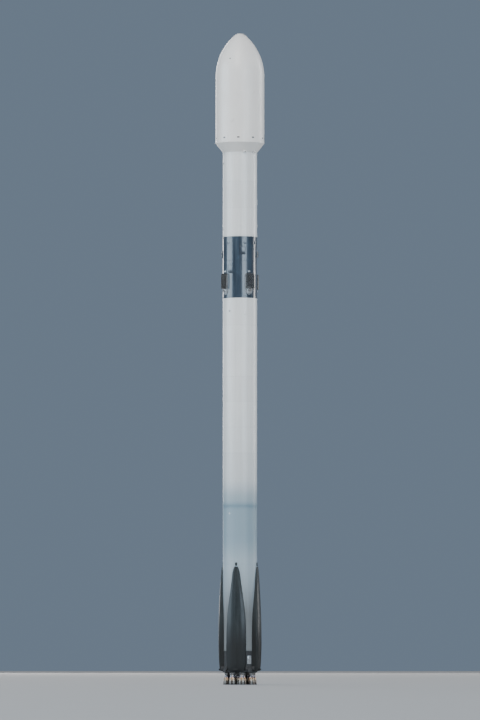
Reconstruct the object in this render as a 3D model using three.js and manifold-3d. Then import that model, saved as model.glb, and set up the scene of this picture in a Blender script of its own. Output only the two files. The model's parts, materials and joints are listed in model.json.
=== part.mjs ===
// A two-stage orbital launch rocket at 1:2 scale, standing as it does on its launch mount.
// The first stage has nine gimballed engines under its thrust plate, two tanks, four folded landing
// legs and four folded grid fins. The second stage carries a payload fairing in two hinged halves.
// Frame: millimetres, +Z up, origin on the rocket's axis in the plane of its four hold-down pads.
import * as THREE from "three";
import { mergeVertices } from "three/addons/utils/BufferGeometryUtils.js";
import Module from "manifold-3d";

const wasm = await Module();
wasm.setup();

// Scale: sizes in scaled() are the full-size rocket's, in metres. Bare sizes are the part's, in millimetres.
const SCALE = 0.5;
const scaled = (metres) => metres * 1000 * SCALE;
const degrees = THREE.MathUtils.degToRad;

// Driving dimensions. Heights are above the hold-down pads.
const CORE_RADIUS = scaled(1.83);
const FAIRING_RADIUS = scaled(2.615);
const ENGINE_EXIT_Z = scaled(-1.3);
const SKIRT_TOP_Z = scaled(2.3);
const FUEL_TANK_TOP_Z = scaled(17.8);
const OXIDIZER_TANK_TOP_Z = scaled(40.1);
const INTERSTAGE_TOP_Z = scaled(46.7);
const SECOND_STAGE_TOP_Z = scaled(55.8);
const BOAT_TAIL_TOP_Z = scaled(56.8);
const BARREL_TOP_Z = scaled(64.0);
const NOSE_TIP_Z = scaled(68.7);

const CORE_SEGMENTS = 48;
const ENGINE_SEGMENTS = 16;
const PIN_SEGMENTS = 8;
const JOINT_GAP = 2;
const SURFACE_GAP = 0.5;

// Places around the axis, in degrees from +X. Grid fins and hold-down pads face along the axes.
const FIN_AZIMUTHS = [0, 90, 180, 270];
const LEG_AZIMUTHS = [45, 135, 225, 315];

// Materials
const material = (color, roughness, metalness) =>
  new THREE.MeshStandardMaterial({ color, roughness, metalness });
const WHITE_PAINT = material(0xe9e6e0, 0.35, 0.1);
const FAIRING_WHITE = material(0xeeebe5, 0.4, 0.0);
const BLACK_COMPOSITE = material(0x101318, 0.3, 0.0);
const THERMAL_BLACK = material(0x1a1b1d, 0.75, 0.0);
const FIN_METAL = material(0x6f6a64, 0.45, 0.9);
const NOZZLE_METAL = material(0x54504c, 0.35, 0.9);
const STRUCTURE_METAL = material(0x8b8d8f, 0.5, 0.8);

// Solids: a closed geometry becomes a solid to join and cut, and a solid becomes a geometry again.
function solidOf(geometry) {
  const bare = geometry.clone();
  for (const name of Object.keys(bare.attributes)) {
    if (name !== "position") bare.deleteAttribute(name);
  }
  const merged = mergeVertices(bare, 1e-3);
  const vertProperties = merged.attributes.position.array;
  const triVerts = new Uint32Array(merged.index.array);
  return new wasm.Manifold(new wasm.Mesh({ numProp: 3, vertProperties, triVerts }));
}

function geometryOf(solid) {
  const mesh = solid.getMesh();
  const geometry = new THREE.BufferGeometry();
  geometry.setAttribute("position", new THREE.BufferAttribute(mesh.vertProperties, 3));
  geometry.setIndex(new THREE.BufferAttribute(mesh.triVerts, 1));
  geometry.computeVertexNormals();
  return geometry;
}

const joined = (solids) => solids.reduce((whole, piece) => whole.add(piece));
const cutBy = (solid, cutters) => cutters.reduce((left, cutter) => left.subtract(cutter), solid);
const turned = (solid, azimuth) => solid.rotate([0, 0, azimuth]);
const SIDES = [-1, 1];

// The stretch from near to far on one side of zero, in rising order.
const span = (side, near, far) => (side > 0 ? [near, far] : [-far, -near]);

function block([x0, x1], [y0, y1], [z0, z1]) {
  const geometry = new THREE.BoxGeometry(x1 - x0, y1 - y0, z1 - z0);
  return solidOf(geometry.translate((x0 + x1) / 2, (y0 + y1) / 2, (z0 + z1) / 2));
}

// A round bar along the x, y or z axis from one station to another, moved to the place given.
function bar(axis, radius, from, to, place = [0, 0, 0], segments = PIN_SEGMENTS) {
  const geometry = new THREE.CylinderGeometry(radius, radius, to - from, segments);
  geometry.translate(0, (from + to) / 2, 0);
  if (axis === "x") geometry.rotateZ(-Math.PI / 2);
  if (axis === "z") geometry.rotateX(Math.PI / 2);
  return solidOf(geometry.translate(...place));
}

// A round plate on the rocket's axis.
function roundPlate(radius, bottom, top) {
  return bar("z", radius, bottom, top, [0, 0, 0], CORE_SEGMENTS);
}

// A surface turned about Z from [radius, z] points, which rise along the outside.
function revolved(points, segments = CORE_SEGMENTS) {
  const profile = points.map(([radius, z]) => new THREE.Vector2(radius, z));
  return new THREE.LatheGeometry(profile, segments).rotateX(Math.PI / 2);
}

const rocket = new THREE.Group();

function addNode(name, geometry, look, place = [0, 0, 0], azimuth = 0) {
  const mesh = new THREE.Mesh(geometry, look);
  mesh.name = name;
  mesh.position.set(...place);
  mesh.rotation.z = degrees(azimuth);
  rocket.add(mesh);
}

// Engines: one at the centre and eight around it, each hung from a two-axis gimbal.
const ENGINE_RING_RADIUS = scaled(1.37);
const GIMBAL_Z = scaled(1.1);
const ENGINE_PLACES = [[0, 0]];
for (let place = 0; place < 8; place += 1) {
  const angle = degrees(22.5 + 45 * place);
  ENGINE_PLACES.push([ENGINE_RING_RADIUS * Math.cos(angle), ENGINE_RING_RADIUS * Math.sin(angle)]);
}
const BELL_WALL = 9;
// Columns: outer radius, height. The bell rises from its exit towards its throat.
const BELL = [
  [scaled(0.46), ENGINE_EXIT_Z],
  [scaled(0.425), scaled(-0.95)],
  [scaled(0.36), scaled(-0.6)],
  [scaled(0.265), scaled(-0.28)],
];
const COLLAR = { radius: scaled(0.335), bottom: scaled(-0.1), top: scaled(-0.06) };
const CHAMBER = { throat: scaled(0.14), radius: scaled(0.21), bottom: scaled(0.16), top: scaled(0.7) };
const INJECTOR = { radius: scaled(0.12), top: scaled(0.86) };
const THROAT_RADIUS = scaled(0.1);
const FORK = { inner: 45, outer: 65, halfWidth: 30, reach: 40 };
const CROSS = { half: 25, pin: 12, bore: 14, pinEnd: 64 };

function engineSolid() {
  const outer = [
    ...BELL,
    [COLLAR.radius, COLLAR.bottom],
    [COLLAR.radius, COLLAR.top],
    [CHAMBER.throat, COLLAR.top],
    [CHAMBER.radius, CHAMBER.bottom],
    [CHAMBER.radius, CHAMBER.top],
    [INJECTOR.radius, INJECTOR.top],
    [0, INJECTOR.top],
  ];
  const inner = BELL.map(([radius, z]) => [radius - BELL_WALL, z]).reverse();
  const throat = [
    [0, COLLAR.bottom],
    [THROAT_RADIUS, COLLAR.bottom],
  ];
  const body = solidOf(revolved([...throat, ...inner, ...outer], ENGINE_SEGMENTS));
  const earZ = [INJECTOR.top - 10, GIMBAL_Z + FORK.reach];
  const ears = SIDES.map((side) =>
    block([-FORK.halfWidth, FORK.halfWidth], span(side, FORK.inner, FORK.outer), earZ),
  );
  const bores = bar("y", CROSS.bore, -FORK.outer - 5, FORK.outer + 5, [0, 0, GIMBAL_Z]);
  return joined([body, ...ears]).subtract(bores);
}

function gimbalCross() {
  const size = [-CROSS.half, CROSS.half];
  const pins = ["x", "y"].map((axis) => bar(axis, CROSS.pin, -CROSS.pinEnd, CROSS.pinEnd));
  return joined([block(size, size, size), ...pins]);
}

const engineGeometry = geometryOf(engineSolid());
const crossGeometry = geometryOf(gimbalCross());
ENGINE_PLACES.forEach(([x, y], index) => {
  addNode(`engine_${index + 1}`, engineGeometry, NOZZLE_METAL, [x, y, 0]);
  addNode(`gimbal_cross_${index + 1}`, crossGeometry, STRUCTURE_METAL, [x, y, GIMBAL_Z]);
});

// Thrust plate: closes the skirt's top and carries a post with a fork for each engine's gimbal.
const THRUST_PLATE = { thickness: 60, top: SKIRT_TOP_Z - JOINT_GAP };
const THRUST_PLATE_BOTTOM = THRUST_PLATE.top - THRUST_PLATE.thickness;
const POST = { half: 65, bottom: GIMBAL_Z + FORK.reach + 16 };

function thrustPost([x, y]) {
  const post = block([x - POST.half, x + POST.half], [y - POST.half, y + POST.half], [
    POST.bottom,
    THRUST_PLATE_BOTTOM + 10,
  ]);
  const ears = SIDES.map((side) => {
    const [near, far] = span(side, FORK.inner, FORK.outer);
    const earZ = [GIMBAL_Z - FORK.reach, POST.bottom + 10];
    return block([x + near, x + far], [y - FORK.halfWidth, y + FORK.halfWidth], earZ);
  });
  const bores = bar("x", CROSS.bore, -FORK.outer - 5, FORK.outer + 5, [x, y, GIMBAL_Z]);
  return joined([post, ...ears]).subtract(bores);
}
const plateDisc = roundPlate(CORE_RADIUS, THRUST_PLATE_BOTTOM, THRUST_PLATE.top);
const thrustPlate = joined([plateDisc, ...ENGINE_PLACES.map(thrustPost)]);
addNode("thrust_plate", geometryOf(thrustPlate), THERMAL_BLACK);

// Engine skirt: an open tube with four hold-down fittings and a pair of brackets for each leg's hinge.
const SKIRT = { wall: 50, bottom: 20 };
const HOLD_DOWN = { halfWidth: 130, from: 870, to: 1010, shoulder: 130, top: 300 };
const LEG_HINGE = { z: scaled(0.45), radial: 840, pin: 28, bore: 31, from: 450, to: 575 };
const LEG_BRACKET = { inner: 505, outer: 580, from: 700, to: 905, below: 90, above: 100 };

function holdDownFitting(azimuth) {
  const side = new THREE.Shape([
    new THREE.Vector2(HOLD_DOWN.from, 0),
    new THREE.Vector2(HOLD_DOWN.to, 0),
    new THREE.Vector2(HOLD_DOWN.to, HOLD_DOWN.shoulder),
    new THREE.Vector2(CORE_RADIUS, HOLD_DOWN.top),
    new THREE.Vector2(HOLD_DOWN.from, HOLD_DOWN.top),
  ]);
  // The side's x and y become the part's x and z, and its depth the width across.
  const settings = { depth: 2 * HOLD_DOWN.halfWidth, bevelEnabled: false };
  const fitting = new THREE.ExtrudeGeometry(side, settings);
  fitting.rotateX(Math.PI / 2).translate(0, HOLD_DOWN.halfWidth, 0);
  return turned(solidOf(fitting), azimuth);
}

function legBrackets(azimuth) {
  const height = [LEG_HINGE.z - LEG_BRACKET.below, LEG_HINGE.z + LEG_BRACKET.above];
  const place = [LEG_HINGE.radial, 0, LEG_HINGE.z];
  const bore = bar("y", LEG_HINGE.bore, -LEG_BRACKET.outer - 5, LEG_BRACKET.outer + 5, place);
  const pair = SIDES.map((side) => {
    const depth = [LEG_BRACKET.from, LEG_BRACKET.to];
    return block(depth, span(side, LEG_BRACKET.inner, LEG_BRACKET.outer), height).subtract(bore);
  });
  return turned(joined(pair), azimuth);
}

const skirtTop = THRUST_PLATE_BOTTOM - JOINT_GAP;
const skirtTube = revolved([
  [CORE_RADIUS - SKIRT.wall, SKIRT.bottom],
  [CORE_RADIUS, SKIRT.bottom],
  [CORE_RADIUS, skirtTop],
  [CORE_RADIUS - SKIRT.wall, skirtTop],
  [CORE_RADIUS - SKIRT.wall, SKIRT.bottom],
]);
const engineSkirt = joined([
  solidOf(skirtTube),
  ...FIN_AZIMUTHS.map(holdDownFitting),
  ...LEG_AZIMUTHS.map(legBrackets),
]);
addNode("engine_skirt", geometryOf(engineSkirt), THERMAL_BLACK);

// Base heat shield: a plate inside the skirt's lower edge with a hole for each engine.
const SHIELD = { radius: CORE_RADIUS - SKIRT.wall - 1, bottom: 30, top: 56, hole: scaled(0.37) };
const shieldPlate = roundPlate(SHIELD.radius, SHIELD.bottom, SHIELD.top);
const shieldHoles = ENGINE_PLACES.map(([x, y]) =>
  bar("z", SHIELD.hole, SHIELD.bottom - 5, SHIELD.top + 5, [x, y, 0], ENGINE_SEGMENTS),
);
addNode("base_heat_shield", geometryOf(cutBy(shieldPlate, shieldHoles)), THERMAL_BLACK);

// Tanks: thin cups with one closed end, whose open end the next piece shuts.
const TANK = { wall: 8, end: 20 };
function tankCup(bottom, top, closedEnd) {
  const inside = CORE_RADIUS - TANK.wall;
  if (closedEnd === "top") {
    return revolved([
      [0, top - TANK.end],
      [inside, top - TANK.end],
      [inside, bottom],
      [CORE_RADIUS, bottom],
      [CORE_RADIUS, top],
      [0, top],
    ]);
  }
  return revolved([
    [0, bottom],
    [CORE_RADIUS, bottom],
    [CORE_RADIUS, top],
    [inside, top],
    [inside, bottom + TANK.end],
    [0, bottom + TANK.end],
  ]);
}
const FORWARD_RING_DEPTH = 40;
const TANKS = [
  { name: "fuel_tank", bottom: SKIRT_TOP_Z, top: FUEL_TANK_TOP_Z - JOINT_GAP, closedEnd: "top" },
  {
    name: "oxidizer_tank",
    bottom: FUEL_TANK_TOP_Z,
    top: OXIDIZER_TANK_TOP_Z - JOINT_GAP,
    closedEnd: "top",
  },
  {
    name: "second_stage_tank",
    bottom: INTERSTAGE_TOP_Z,
    top: SECOND_STAGE_TOP_Z - FORWARD_RING_DEPTH - JOINT_GAP,
    closedEnd: "bottom",
  },
];
for (const { name, bottom, top, closedEnd } of TANKS) {
  addNode(name, tankCup(bottom, top, closedEnd), WHITE_PAINT);
}

// Interstage: an open tube with a round hole for each grid fin's shaft.
const INTERSTAGE_WALL = 30;
const FIN_ROOT_Z = OXIDIZER_TANK_TOP_Z + scaled(0.8);
const FIN_SHAFT = { radius: 80, hole: 87, from: 820 };
const interstageTube = solidOf(
  revolved([
    [CORE_RADIUS - INTERSTAGE_WALL, OXIDIZER_TANK_TOP_Z],
    [CORE_RADIUS, OXIDIZER_TANK_TOP_Z],
    [CORE_RADIUS, INTERSTAGE_TOP_Z - JOINT_GAP],
    [CORE_RADIUS - INTERSTAGE_WALL, INTERSTAGE_TOP_Z - JOINT_GAP],
    [CORE_RADIUS - INTERSTAGE_WALL, OXIDIZER_TANK_TOP_Z],
  ]),
);
const shaftHoles = FIN_AZIMUTHS.map((azimuth) =>
  turned(bar("x", FIN_SHAFT.hole, 700, 1000, [0, 0, FIN_ROOT_Z], ENGINE_SEGMENTS), azimuth),
);
addNode("interstage", geometryOf(cutBy(interstageTube, shaftHoles)), BLACK_COMPOSITE);

// Second-stage engine: closed inside the interstage, so a plain bell at its real place and size.
const UPPER_ENGINE = { exitRadius: scaled(1.25), neck: scaled(0.3), length: scaled(4.0), wall: 12 };
const upperEngineTop = INTERSTAGE_TOP_Z - JOINT_GAP;
const upperEngine = revolved(
  [
    [0, upperEngineTop - scaled(0.9)],
    [UPPER_ENGINE.neck - UPPER_ENGINE.wall, upperEngineTop - scaled(0.9)],
    [UPPER_ENGINE.exitRadius - UPPER_ENGINE.wall, upperEngineTop - UPPER_ENGINE.length],
    [UPPER_ENGINE.exitRadius, upperEngineTop - UPPER_ENGINE.length],
    [UPPER_ENGINE.neck, upperEngineTop - scaled(0.8)],
    [UPPER_ENGINE.neck, upperEngineTop],
    [0, upperEngineTop],
  ],
  ENGINE_SEGMENTS,
);
addNode("second_stage_engine", upperEngine, NOZZLE_METAL);

// Landing legs, folded up against the tank.
const LEG_ARC_STEPS = 6;
const LEG_STANDOFF = 7;
const LEG_EDGE_SHARE = 0.82;
// Columns: height, half width, and how far the leg stands out of the core.
const LEG_STATIONS = [
  [scaled(0.15), scaled(0.92), scaled(0.28)],
  [scaled(0.6), scaled(0.99), scaled(0.38)],
  [scaled(1.5), scaled(1.02), scaled(0.44)],
  [scaled(3.0), scaled(1.02), scaled(0.48)],
  [scaled(4.8), scaled(1.0), scaled(0.47)],
  [scaled(6.3), scaled(0.93), scaled(0.43)],
  [scaled(7.6), scaled(0.78), scaled(0.38)],
  [scaled(9.0), scaled(0.6), scaled(0.31)],
  [scaled(10.7), scaled(0.38), scaled(0.21)],
  [scaled(11.3), scaled(0.2), scaled(0.13)],
];

// A closed skin over stations, each of them a band between an inner and an outer arc about Z.
function bandLoft(stations, steps) {
  const points = [];
  const faces = [];
  const perArc = steps + 1;
  for (const { z, arcs } of stations) {
    for (const [radius, halfAngle] of arcs) {
      for (let i = 0; i <= steps; i += 1) {
        const angle = halfAngle * ((2 * i) / steps - 1);
        points.push(radius * Math.cos(angle), radius * Math.sin(angle), z);
      }
    }
  }
  const inner = (station, i) => station * 2 * perArc + i;
  const outer = (station, i) => inner(station, i) + perArc;
  const quad = (a, b, c, d) => faces.push(a, b, c, a, c, d);
  const last = stations.length - 1;
  for (let i = 0; i < steps; i += 1) {
    quad(inner(0, i), inner(0, i + 1), outer(0, i + 1), outer(0, i));
    quad(inner(last, i), outer(last, i), outer(last, i + 1), inner(last, i + 1));
  }
  for (let s = 0; s < last; s += 1) {
    for (let i = 0; i < steps; i += 1) {
      quad(inner(s, i), inner(s + 1, i), inner(s + 1, i + 1), inner(s, i + 1));
      quad(outer(s, i), outer(s, i + 1), outer(s + 1, i + 1), outer(s + 1, i));
    }
    quad(inner(s, 0), outer(s, 0), outer(s + 1, 0), inner(s + 1, 0));
    quad(inner(s, steps), inner(s + 1, steps), outer(s + 1, steps), outer(s, steps));
  }
  const geometry = new THREE.BufferGeometry();
  geometry.setAttribute("position", new THREE.Float32BufferAttribute(points, 3));
  geometry.setIndex(faces);
  return geometry;
}

function landingLeg() {
  const stations = LEG_STATIONS.map(([z, halfWidth, proud]) => {
    const innerRadius = CORE_RADIUS + LEG_STANDOFF;
    const halfAngle = Math.asin(halfWidth / innerRadius);
    const arcs = [
      [innerRadius, halfAngle],
      [CORE_RADIUS + proud, halfAngle * LEG_EDGE_SHARE],
    ];
    return { z, arcs };
  });
  const place = [LEG_HINGE.radial, 0, LEG_HINGE.z];
  const pins = SIDES.map((side) =>
    bar("y", LEG_HINGE.pin, ...span(side, LEG_HINGE.from, LEG_HINGE.to), place),
  );
  return joined([solidOf(bandLoft(stations, LEG_ARC_STEPS)), ...pins]);
}
const legGeometry = geometryOf(landingLeg());
LEG_AZIMUTHS.forEach((azimuth, index) => {
  addNode(`landing_leg_${index + 1}`, legGeometry, BLACK_COMPOSITE, [0, 0, 0], azimuth);
});

// Grid fins, folded up against the interstage. Each yoke steers, and carries the fin's fold hinge.
const FIN = { bottom: 75, frame: 24, corner: 90, thickness: 80, radial: 990 };
const LATTICE = { columns: 8, rows: 12, step: 68, web: 9 };
const LATTICE_HALF = (LATTICE.columns * LATTICE.step) / 2;
const LATTICE_LOW = FIN.bottom + FIN.frame;
const LATTICE_HIGH = LATTICE_LOW + LATTICE.rows * LATTICE.step;
const FIN_LUG = { halfWidth: 100, radius: 46, halfNeck: 36 };
const FIN_PIN = { radius: 20, bore: 23 };
const YOKE = { earInner: 110, earOuter: 160, from: 921, base: 936, to: 1032, halfHeight: 52, disc: 176 };

// The lattice's openings: diamonds, and halves of them along the frame, as lists of corners.
function latticeOpenings() {
  const reach = LATTICE.step - LATTICE.web / Math.SQRT2;
  const clear = 1.5 * FIN.frame;
  const inFrame = ([x, y]) =>
    Math.abs(x) < LATTICE_HALF + 1 && y > LATTICE_LOW - 1 && y < LATTICE_HIGH + 1;
  const inCorner = ([x, y]) =>
    Math.abs(x) - LATTICE_HALF + y - LATTICE_HIGH > 2 * FIN.frame - FIN.corner - clear;
  const openings = [];
  for (let row = 0; row <= LATTICE.rows; row += 1) {
    for (let column = (row + 1) % 2; column <= LATTICE.columns; column += 2) {
      const x = column * LATTICE.step - LATTICE_HALF;
      const y = LATTICE_LOW + row * LATTICE.step;
      const corners = [[x, y - reach], [x + reach, y], [x, y + reach], [x - reach, y]].filter(inFrame);
      if (corners.length > 2 && !corners.some(inCorner)) openings.push(corners);
    }
  }
  return openings;
}

// A plate across the fin's thickness. The corners' x and y become the part's y and z.
function finPlate(corners, thickness) {
  const outline = new THREE.Shape(corners.map(([x, y]) => new THREE.Vector2(x, y)));
  const plate = new THREE.ExtrudeGeometry(outline, { depth: thickness, bevelEnabled: false });
  plate.rotateX(Math.PI / 2).rotateZ(Math.PI / 2);
  return solidOf(plate.translate(FIN.radial - thickness / 2, 0, 0));
}

function gridFin() {
  const half = LATTICE_HALF + FIN.frame;
  const top = LATTICE_HIGH + FIN.frame;
  const frame = finPlate(
    [
      [-half, FIN.bottom],
      [half, FIN.bottom],
      [half, top - FIN.corner],
      [half - FIN.corner, top],
      [-half + FIN.corner, top],
      [-half, top - FIN.corner],
    ],
    FIN.thickness,
  );
  const openings = latticeOpenings().map((corners) => finPlate(corners, FIN.thickness + 10));
  const place = [FIN.radial, 0, 0];
  const lug = bar("y", FIN_LUG.radius, -FIN_LUG.halfWidth, FIN_LUG.halfWidth, place);
  const neck = block(
    [FIN.radial - FIN_LUG.halfNeck, FIN.radial + FIN_LUG.halfNeck],
    [-FIN_LUG.halfWidth, FIN_LUG.halfWidth],
    [0, FIN.bottom + 10],
  );
  const bore = bar("y", FIN_PIN.bore, -FIN_LUG.halfWidth - 5, FIN_LUG.halfWidth + 5, place);
  return joined([cutBy(frame, openings), lug, neck]).subtract(bore);
}

function finYoke() {
  const shaft = bar("x", FIN_SHAFT.radius, FIN_SHAFT.from, YOKE.base, [0, 0, 0], ENGINE_SEGMENTS);
  const disc = bar("x", YOKE.disc, YOKE.from, YOKE.base, [0, 0, 0], ENGINE_SEGMENTS);
  const height = [-YOKE.halfHeight, YOKE.halfHeight];
  const ears = SIDES.map((side) =>
    block([YOKE.from, YOKE.to], span(side, YOKE.earInner, YOKE.earOuter), height),
  );
  const pin = bar("y", FIN_PIN.radius, -YOKE.earOuter, YOKE.earOuter, [FIN.radial, 0, 0]);
  return joined([shaft, disc, ...ears, pin]);
}
const finGeometry = geometryOf(gridFin());
const yokeGeometry = geometryOf(finYoke());
FIN_AZIMUTHS.forEach((azimuth, index) => {
  addNode(`fin_yoke_${index + 1}`, yokeGeometry, STRUCTURE_METAL, [0, 0, FIN_ROOT_Z], azimuth);
  addNode(`grid_fin_${index + 1}`, finGeometry, FIN_METAL, [0, 0, FIN_ROOT_Z], azimuth);
});

// Covers and panels on the core's skin, with their backs cut to its curve.
const COVER_DEPTH = 40;
const coreFace = roundPlate(CORE_RADIUS + SURFACE_GAP, 0, SECOND_STAGE_TOP_Z);
const coverBlock = (width, height, proud) =>
  block([CORE_RADIUS - COVER_DEPTH, CORE_RADIUS + proud], [-width / 2, width / 2], height);

// Columns: azimuth, lowest and highest point, width, and how far it stands out of the core.
const COVERS = [
  { name: "system_tunnel_lower", azimuth: 0, z: [0.9, 39.8], width: 150, proud: 58, look: WHITE_PAINT },
  { name: "system_tunnel_upper", azimuth: 0, z: [46.9, 55.2], width: 150, proud: 58, look: WHITE_PAINT },
  { name: "thruster_pod_1", azimuth: 135, z: [44.5, 45.2], width: 250, proud: 75, look: BLACK_COMPOSITE },
  { name: "thruster_pod_2", azimuth: 315, z: [44.5, 45.2], width: 250, proud: 75, look: BLACK_COMPOSITE },
  { name: "umbilical_panel_1", azimuth: 90, z: [0.9, 1.8], width: 220, proud: 45, look: STRUCTURE_METAL },
  { name: "umbilical_panel_2", azimuth: 270, z: [0.9, 1.8], width: 220, proud: 45, look: STRUCTURE_METAL },
  { name: "umbilical_panel_3", azimuth: 345, z: [50.2, 50.8], width: 180, proud: 40, look: STRUCTURE_METAL },
];
for (const { name, azimuth, z, width, proud, look } of COVERS) {
  const cover = turned(coverBlock(width, z.map(scaled), proud), azimuth).subtract(coreFace);
  addNode(name, geometryOf(cover), look);
}

// Forward ring: the top of the second stage, with the clevises of the fairing's hinges.
const SEAM_HALF_GAP = 2.5;
const FAIRING_WALL = 20;
const FAIRING_RIM_Z = SECOND_STAGE_TOP_Z + 6;
const HINGE = {
  y: 975,
  z: SECOND_STAGE_TOP_Z + 34,
  spacing: 300,
  halfKnuckle: 35,
  gap: 6,
  ear: 28,
  lug: 26,
  pin: 12,
  bore: 15,
};
const HINGE_STATIONS = [-HINGE.spacing, HINGE.spacing];

function hingeClevis(x, side) {
  const ringZ = SECOND_STAGE_TOP_Z - FORWARD_RING_DEPTH;
  const earFrom = HINGE.halfKnuckle + HINGE.gap;
  const ears = SIDES.map((end) => {
    const [near, far] = span(end, earFrom, earFrom + HINGE.ear);
    const width = [x + near, x + far];
    const foot = block(width, span(side, 820, HINGE.y + HINGE.lug), [ringZ + 2, SECOND_STAGE_TOP_Z - 4]);
    const post = block(width, span(side, HINGE.y - HINGE.lug, HINGE.y + HINGE.lug), [
      ringZ + 2,
      HINGE.z + HINGE.lug,
    ]);
    return foot.add(post);
  });
  const reach = earFrom + HINGE.ear;
  const pin = bar("x", HINGE.pin, -reach, reach, [x, side * HINGE.y, HINGE.z]);
  return joined([...ears, pin]);
}

const ringDisc = roundPlate(CORE_RADIUS, SECOND_STAGE_TOP_Z - FORWARD_RING_DEPTH, SECOND_STAGE_TOP_Z);
const clevises = SIDES.flatMap((side) => HINGE_STATIONS.map((x) => hingeClevis(x, side)));
addNode("forward_ring", geometryOf(joined([ringDisc, ...clevises])), WHITE_PAINT);

// Payload adapter: a hollow cone on the forward ring, whose flat top ring carries the payload.
const ADAPTER = { bottomRadius: 780, topRadius: 420, wall: 14, height: scaled(1.3) };
const PAYLOAD_RING = { width: 40, depth: 25 };
const adapterBottom = SECOND_STAGE_TOP_Z + SURFACE_GAP;
const adapterTop = adapterBottom + ADAPTER.height;
const payloadAdapter = revolved([
  [ADAPTER.bottomRadius - ADAPTER.wall, adapterBottom],
  [ADAPTER.bottomRadius, adapterBottom],
  [ADAPTER.topRadius, adapterTop - PAYLOAD_RING.depth],
  [ADAPTER.topRadius, adapterTop],
  [ADAPTER.topRadius - PAYLOAD_RING.width, adapterTop],
  [ADAPTER.topRadius - PAYLOAD_RING.width, adapterTop - PAYLOAD_RING.depth],
  [ADAPTER.bottomRadius - ADAPTER.wall, adapterBottom],
]);
addNode("payload_adapter", payloadAdapter, STRUCTURE_METAL);

// Fairing: a boat tail, a barrel and a round-tipped ogive nose, in two halves that meet at y = 0.
const NOSE_RADIUS = scaled(0.9);
const NOSE_LENGTH = NOSE_TIP_Z - BARREL_TOP_Z;
const OGIVE_RISE = NOSE_LENGTH - NOSE_RADIUS;
const OGIVE_DROP = FAIRING_RADIUS - NOSE_RADIUS;
const OGIVE_RADIUS = (OGIVE_RISE ** 2 / OGIVE_DROP + NOSE_RADIUS + FAIRING_RADIUS) / 2;
const CAP_CENTRE_Z = NOSE_TIP_Z - NOSE_RADIUS;
const OGIVE_SWEEP = Math.atan2(CAP_CENTRE_Z - BARREL_TOP_Z, OGIVE_RADIUS - FAIRING_RADIUS);
const OGIVE_STEPS = 8;
const CAP_STEPS = 4;

// The fairing's side from rim to tip, moved inwards by the depth given.
function fairingSide(depth) {
  const points = [
    [CORE_RADIUS - depth, FAIRING_RIM_Z],
    [FAIRING_RADIUS - depth, BOAT_TAIL_TOP_Z],
  ];
  const arc = OGIVE_RADIUS - depth;
  for (let i = 0; i < OGIVE_STEPS; i += 1) {
    const angle = (OGIVE_SWEEP * i) / OGIVE_STEPS;
    const radius = FAIRING_RADIUS - OGIVE_RADIUS + arc * Math.cos(angle);
    points.push([radius, BARREL_TOP_Z + arc * Math.sin(angle)]);
  }
  for (let i = 0; i <= CAP_STEPS; i += 1) {
    const angle = OGIVE_SWEEP + ((Math.PI / 2 - OGIVE_SWEEP) * i) / CAP_STEPS;
    const cap = NOSE_RADIUS - depth;
    const radius = i === CAP_STEPS ? 0 : cap * Math.cos(angle);
    points.push([radius, CAP_CENTRE_Z + cap * Math.sin(angle)]);
  }
  return points;
}

const fairingBody = solidOf(revolved([[0, FAIRING_RIM_Z], ...fairingSide(0)]));
const fairingInside = solidOf(
  revolved([
    [0, FAIRING_RIM_Z - 10],
    [CORE_RADIUS - FAIRING_WALL, FAIRING_RIM_Z - 10],
    ...fairingSide(FAIRING_WALL),
  ]),
);

function knuckle(x, side) {
  const width = [x - HINGE.halfKnuckle, x + HINGE.halfKnuckle];
  const arm = block(width, span(side, 840, HINGE.y), [HINGE.z - HINGE.lug, HINGE.z + HINGE.lug]);
  const place = [x, side * HINGE.y, HINGE.z];
  const lug = bar("x", HINGE.lug, -HINGE.halfKnuckle, HINGE.halfKnuckle, place);
  const bore = bar("x", HINGE.bore, -HINGE.halfKnuckle - 5, HINGE.halfKnuckle + 5, place);
  return joined([arm, lug]).subtract(bore);
}

const FAIRING_REACH = FAIRING_RADIUS + 100;
const fairingHeight = [SECOND_STAGE_TOP_Z, NOSE_TIP_Z + 100];
SIDES.forEach((side, index) => {
  const knuckles = HINGE_STATIONS.map((x) => knuckle(x, -side));
  const across = span(-side, SEAM_HALF_GAP, FAIRING_REACH);
  const keep = block([-FAIRING_REACH, FAIRING_REACH], across, fairingHeight);
  const half = joined([fairingBody, ...knuckles]).subtract(fairingInside).intersect(keep);
  addNode(`fairing_half_${index + 1}`, geometryOf(half), FAIRING_WHITE);
});

export default rocket;
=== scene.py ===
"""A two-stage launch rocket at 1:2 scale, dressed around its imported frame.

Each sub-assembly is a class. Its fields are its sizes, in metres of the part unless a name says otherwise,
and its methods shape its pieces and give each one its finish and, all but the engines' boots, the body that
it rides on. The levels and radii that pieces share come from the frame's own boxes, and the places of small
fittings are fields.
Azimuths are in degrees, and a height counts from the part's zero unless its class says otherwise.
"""

from __future__ import annotations

import json
import logging
import math
from dataclasses import dataclass, replace
from enum import Enum
from typing import Iterable, Sequence

import bmesh
import bpy
from mathutils import Matrix, Vector

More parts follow.
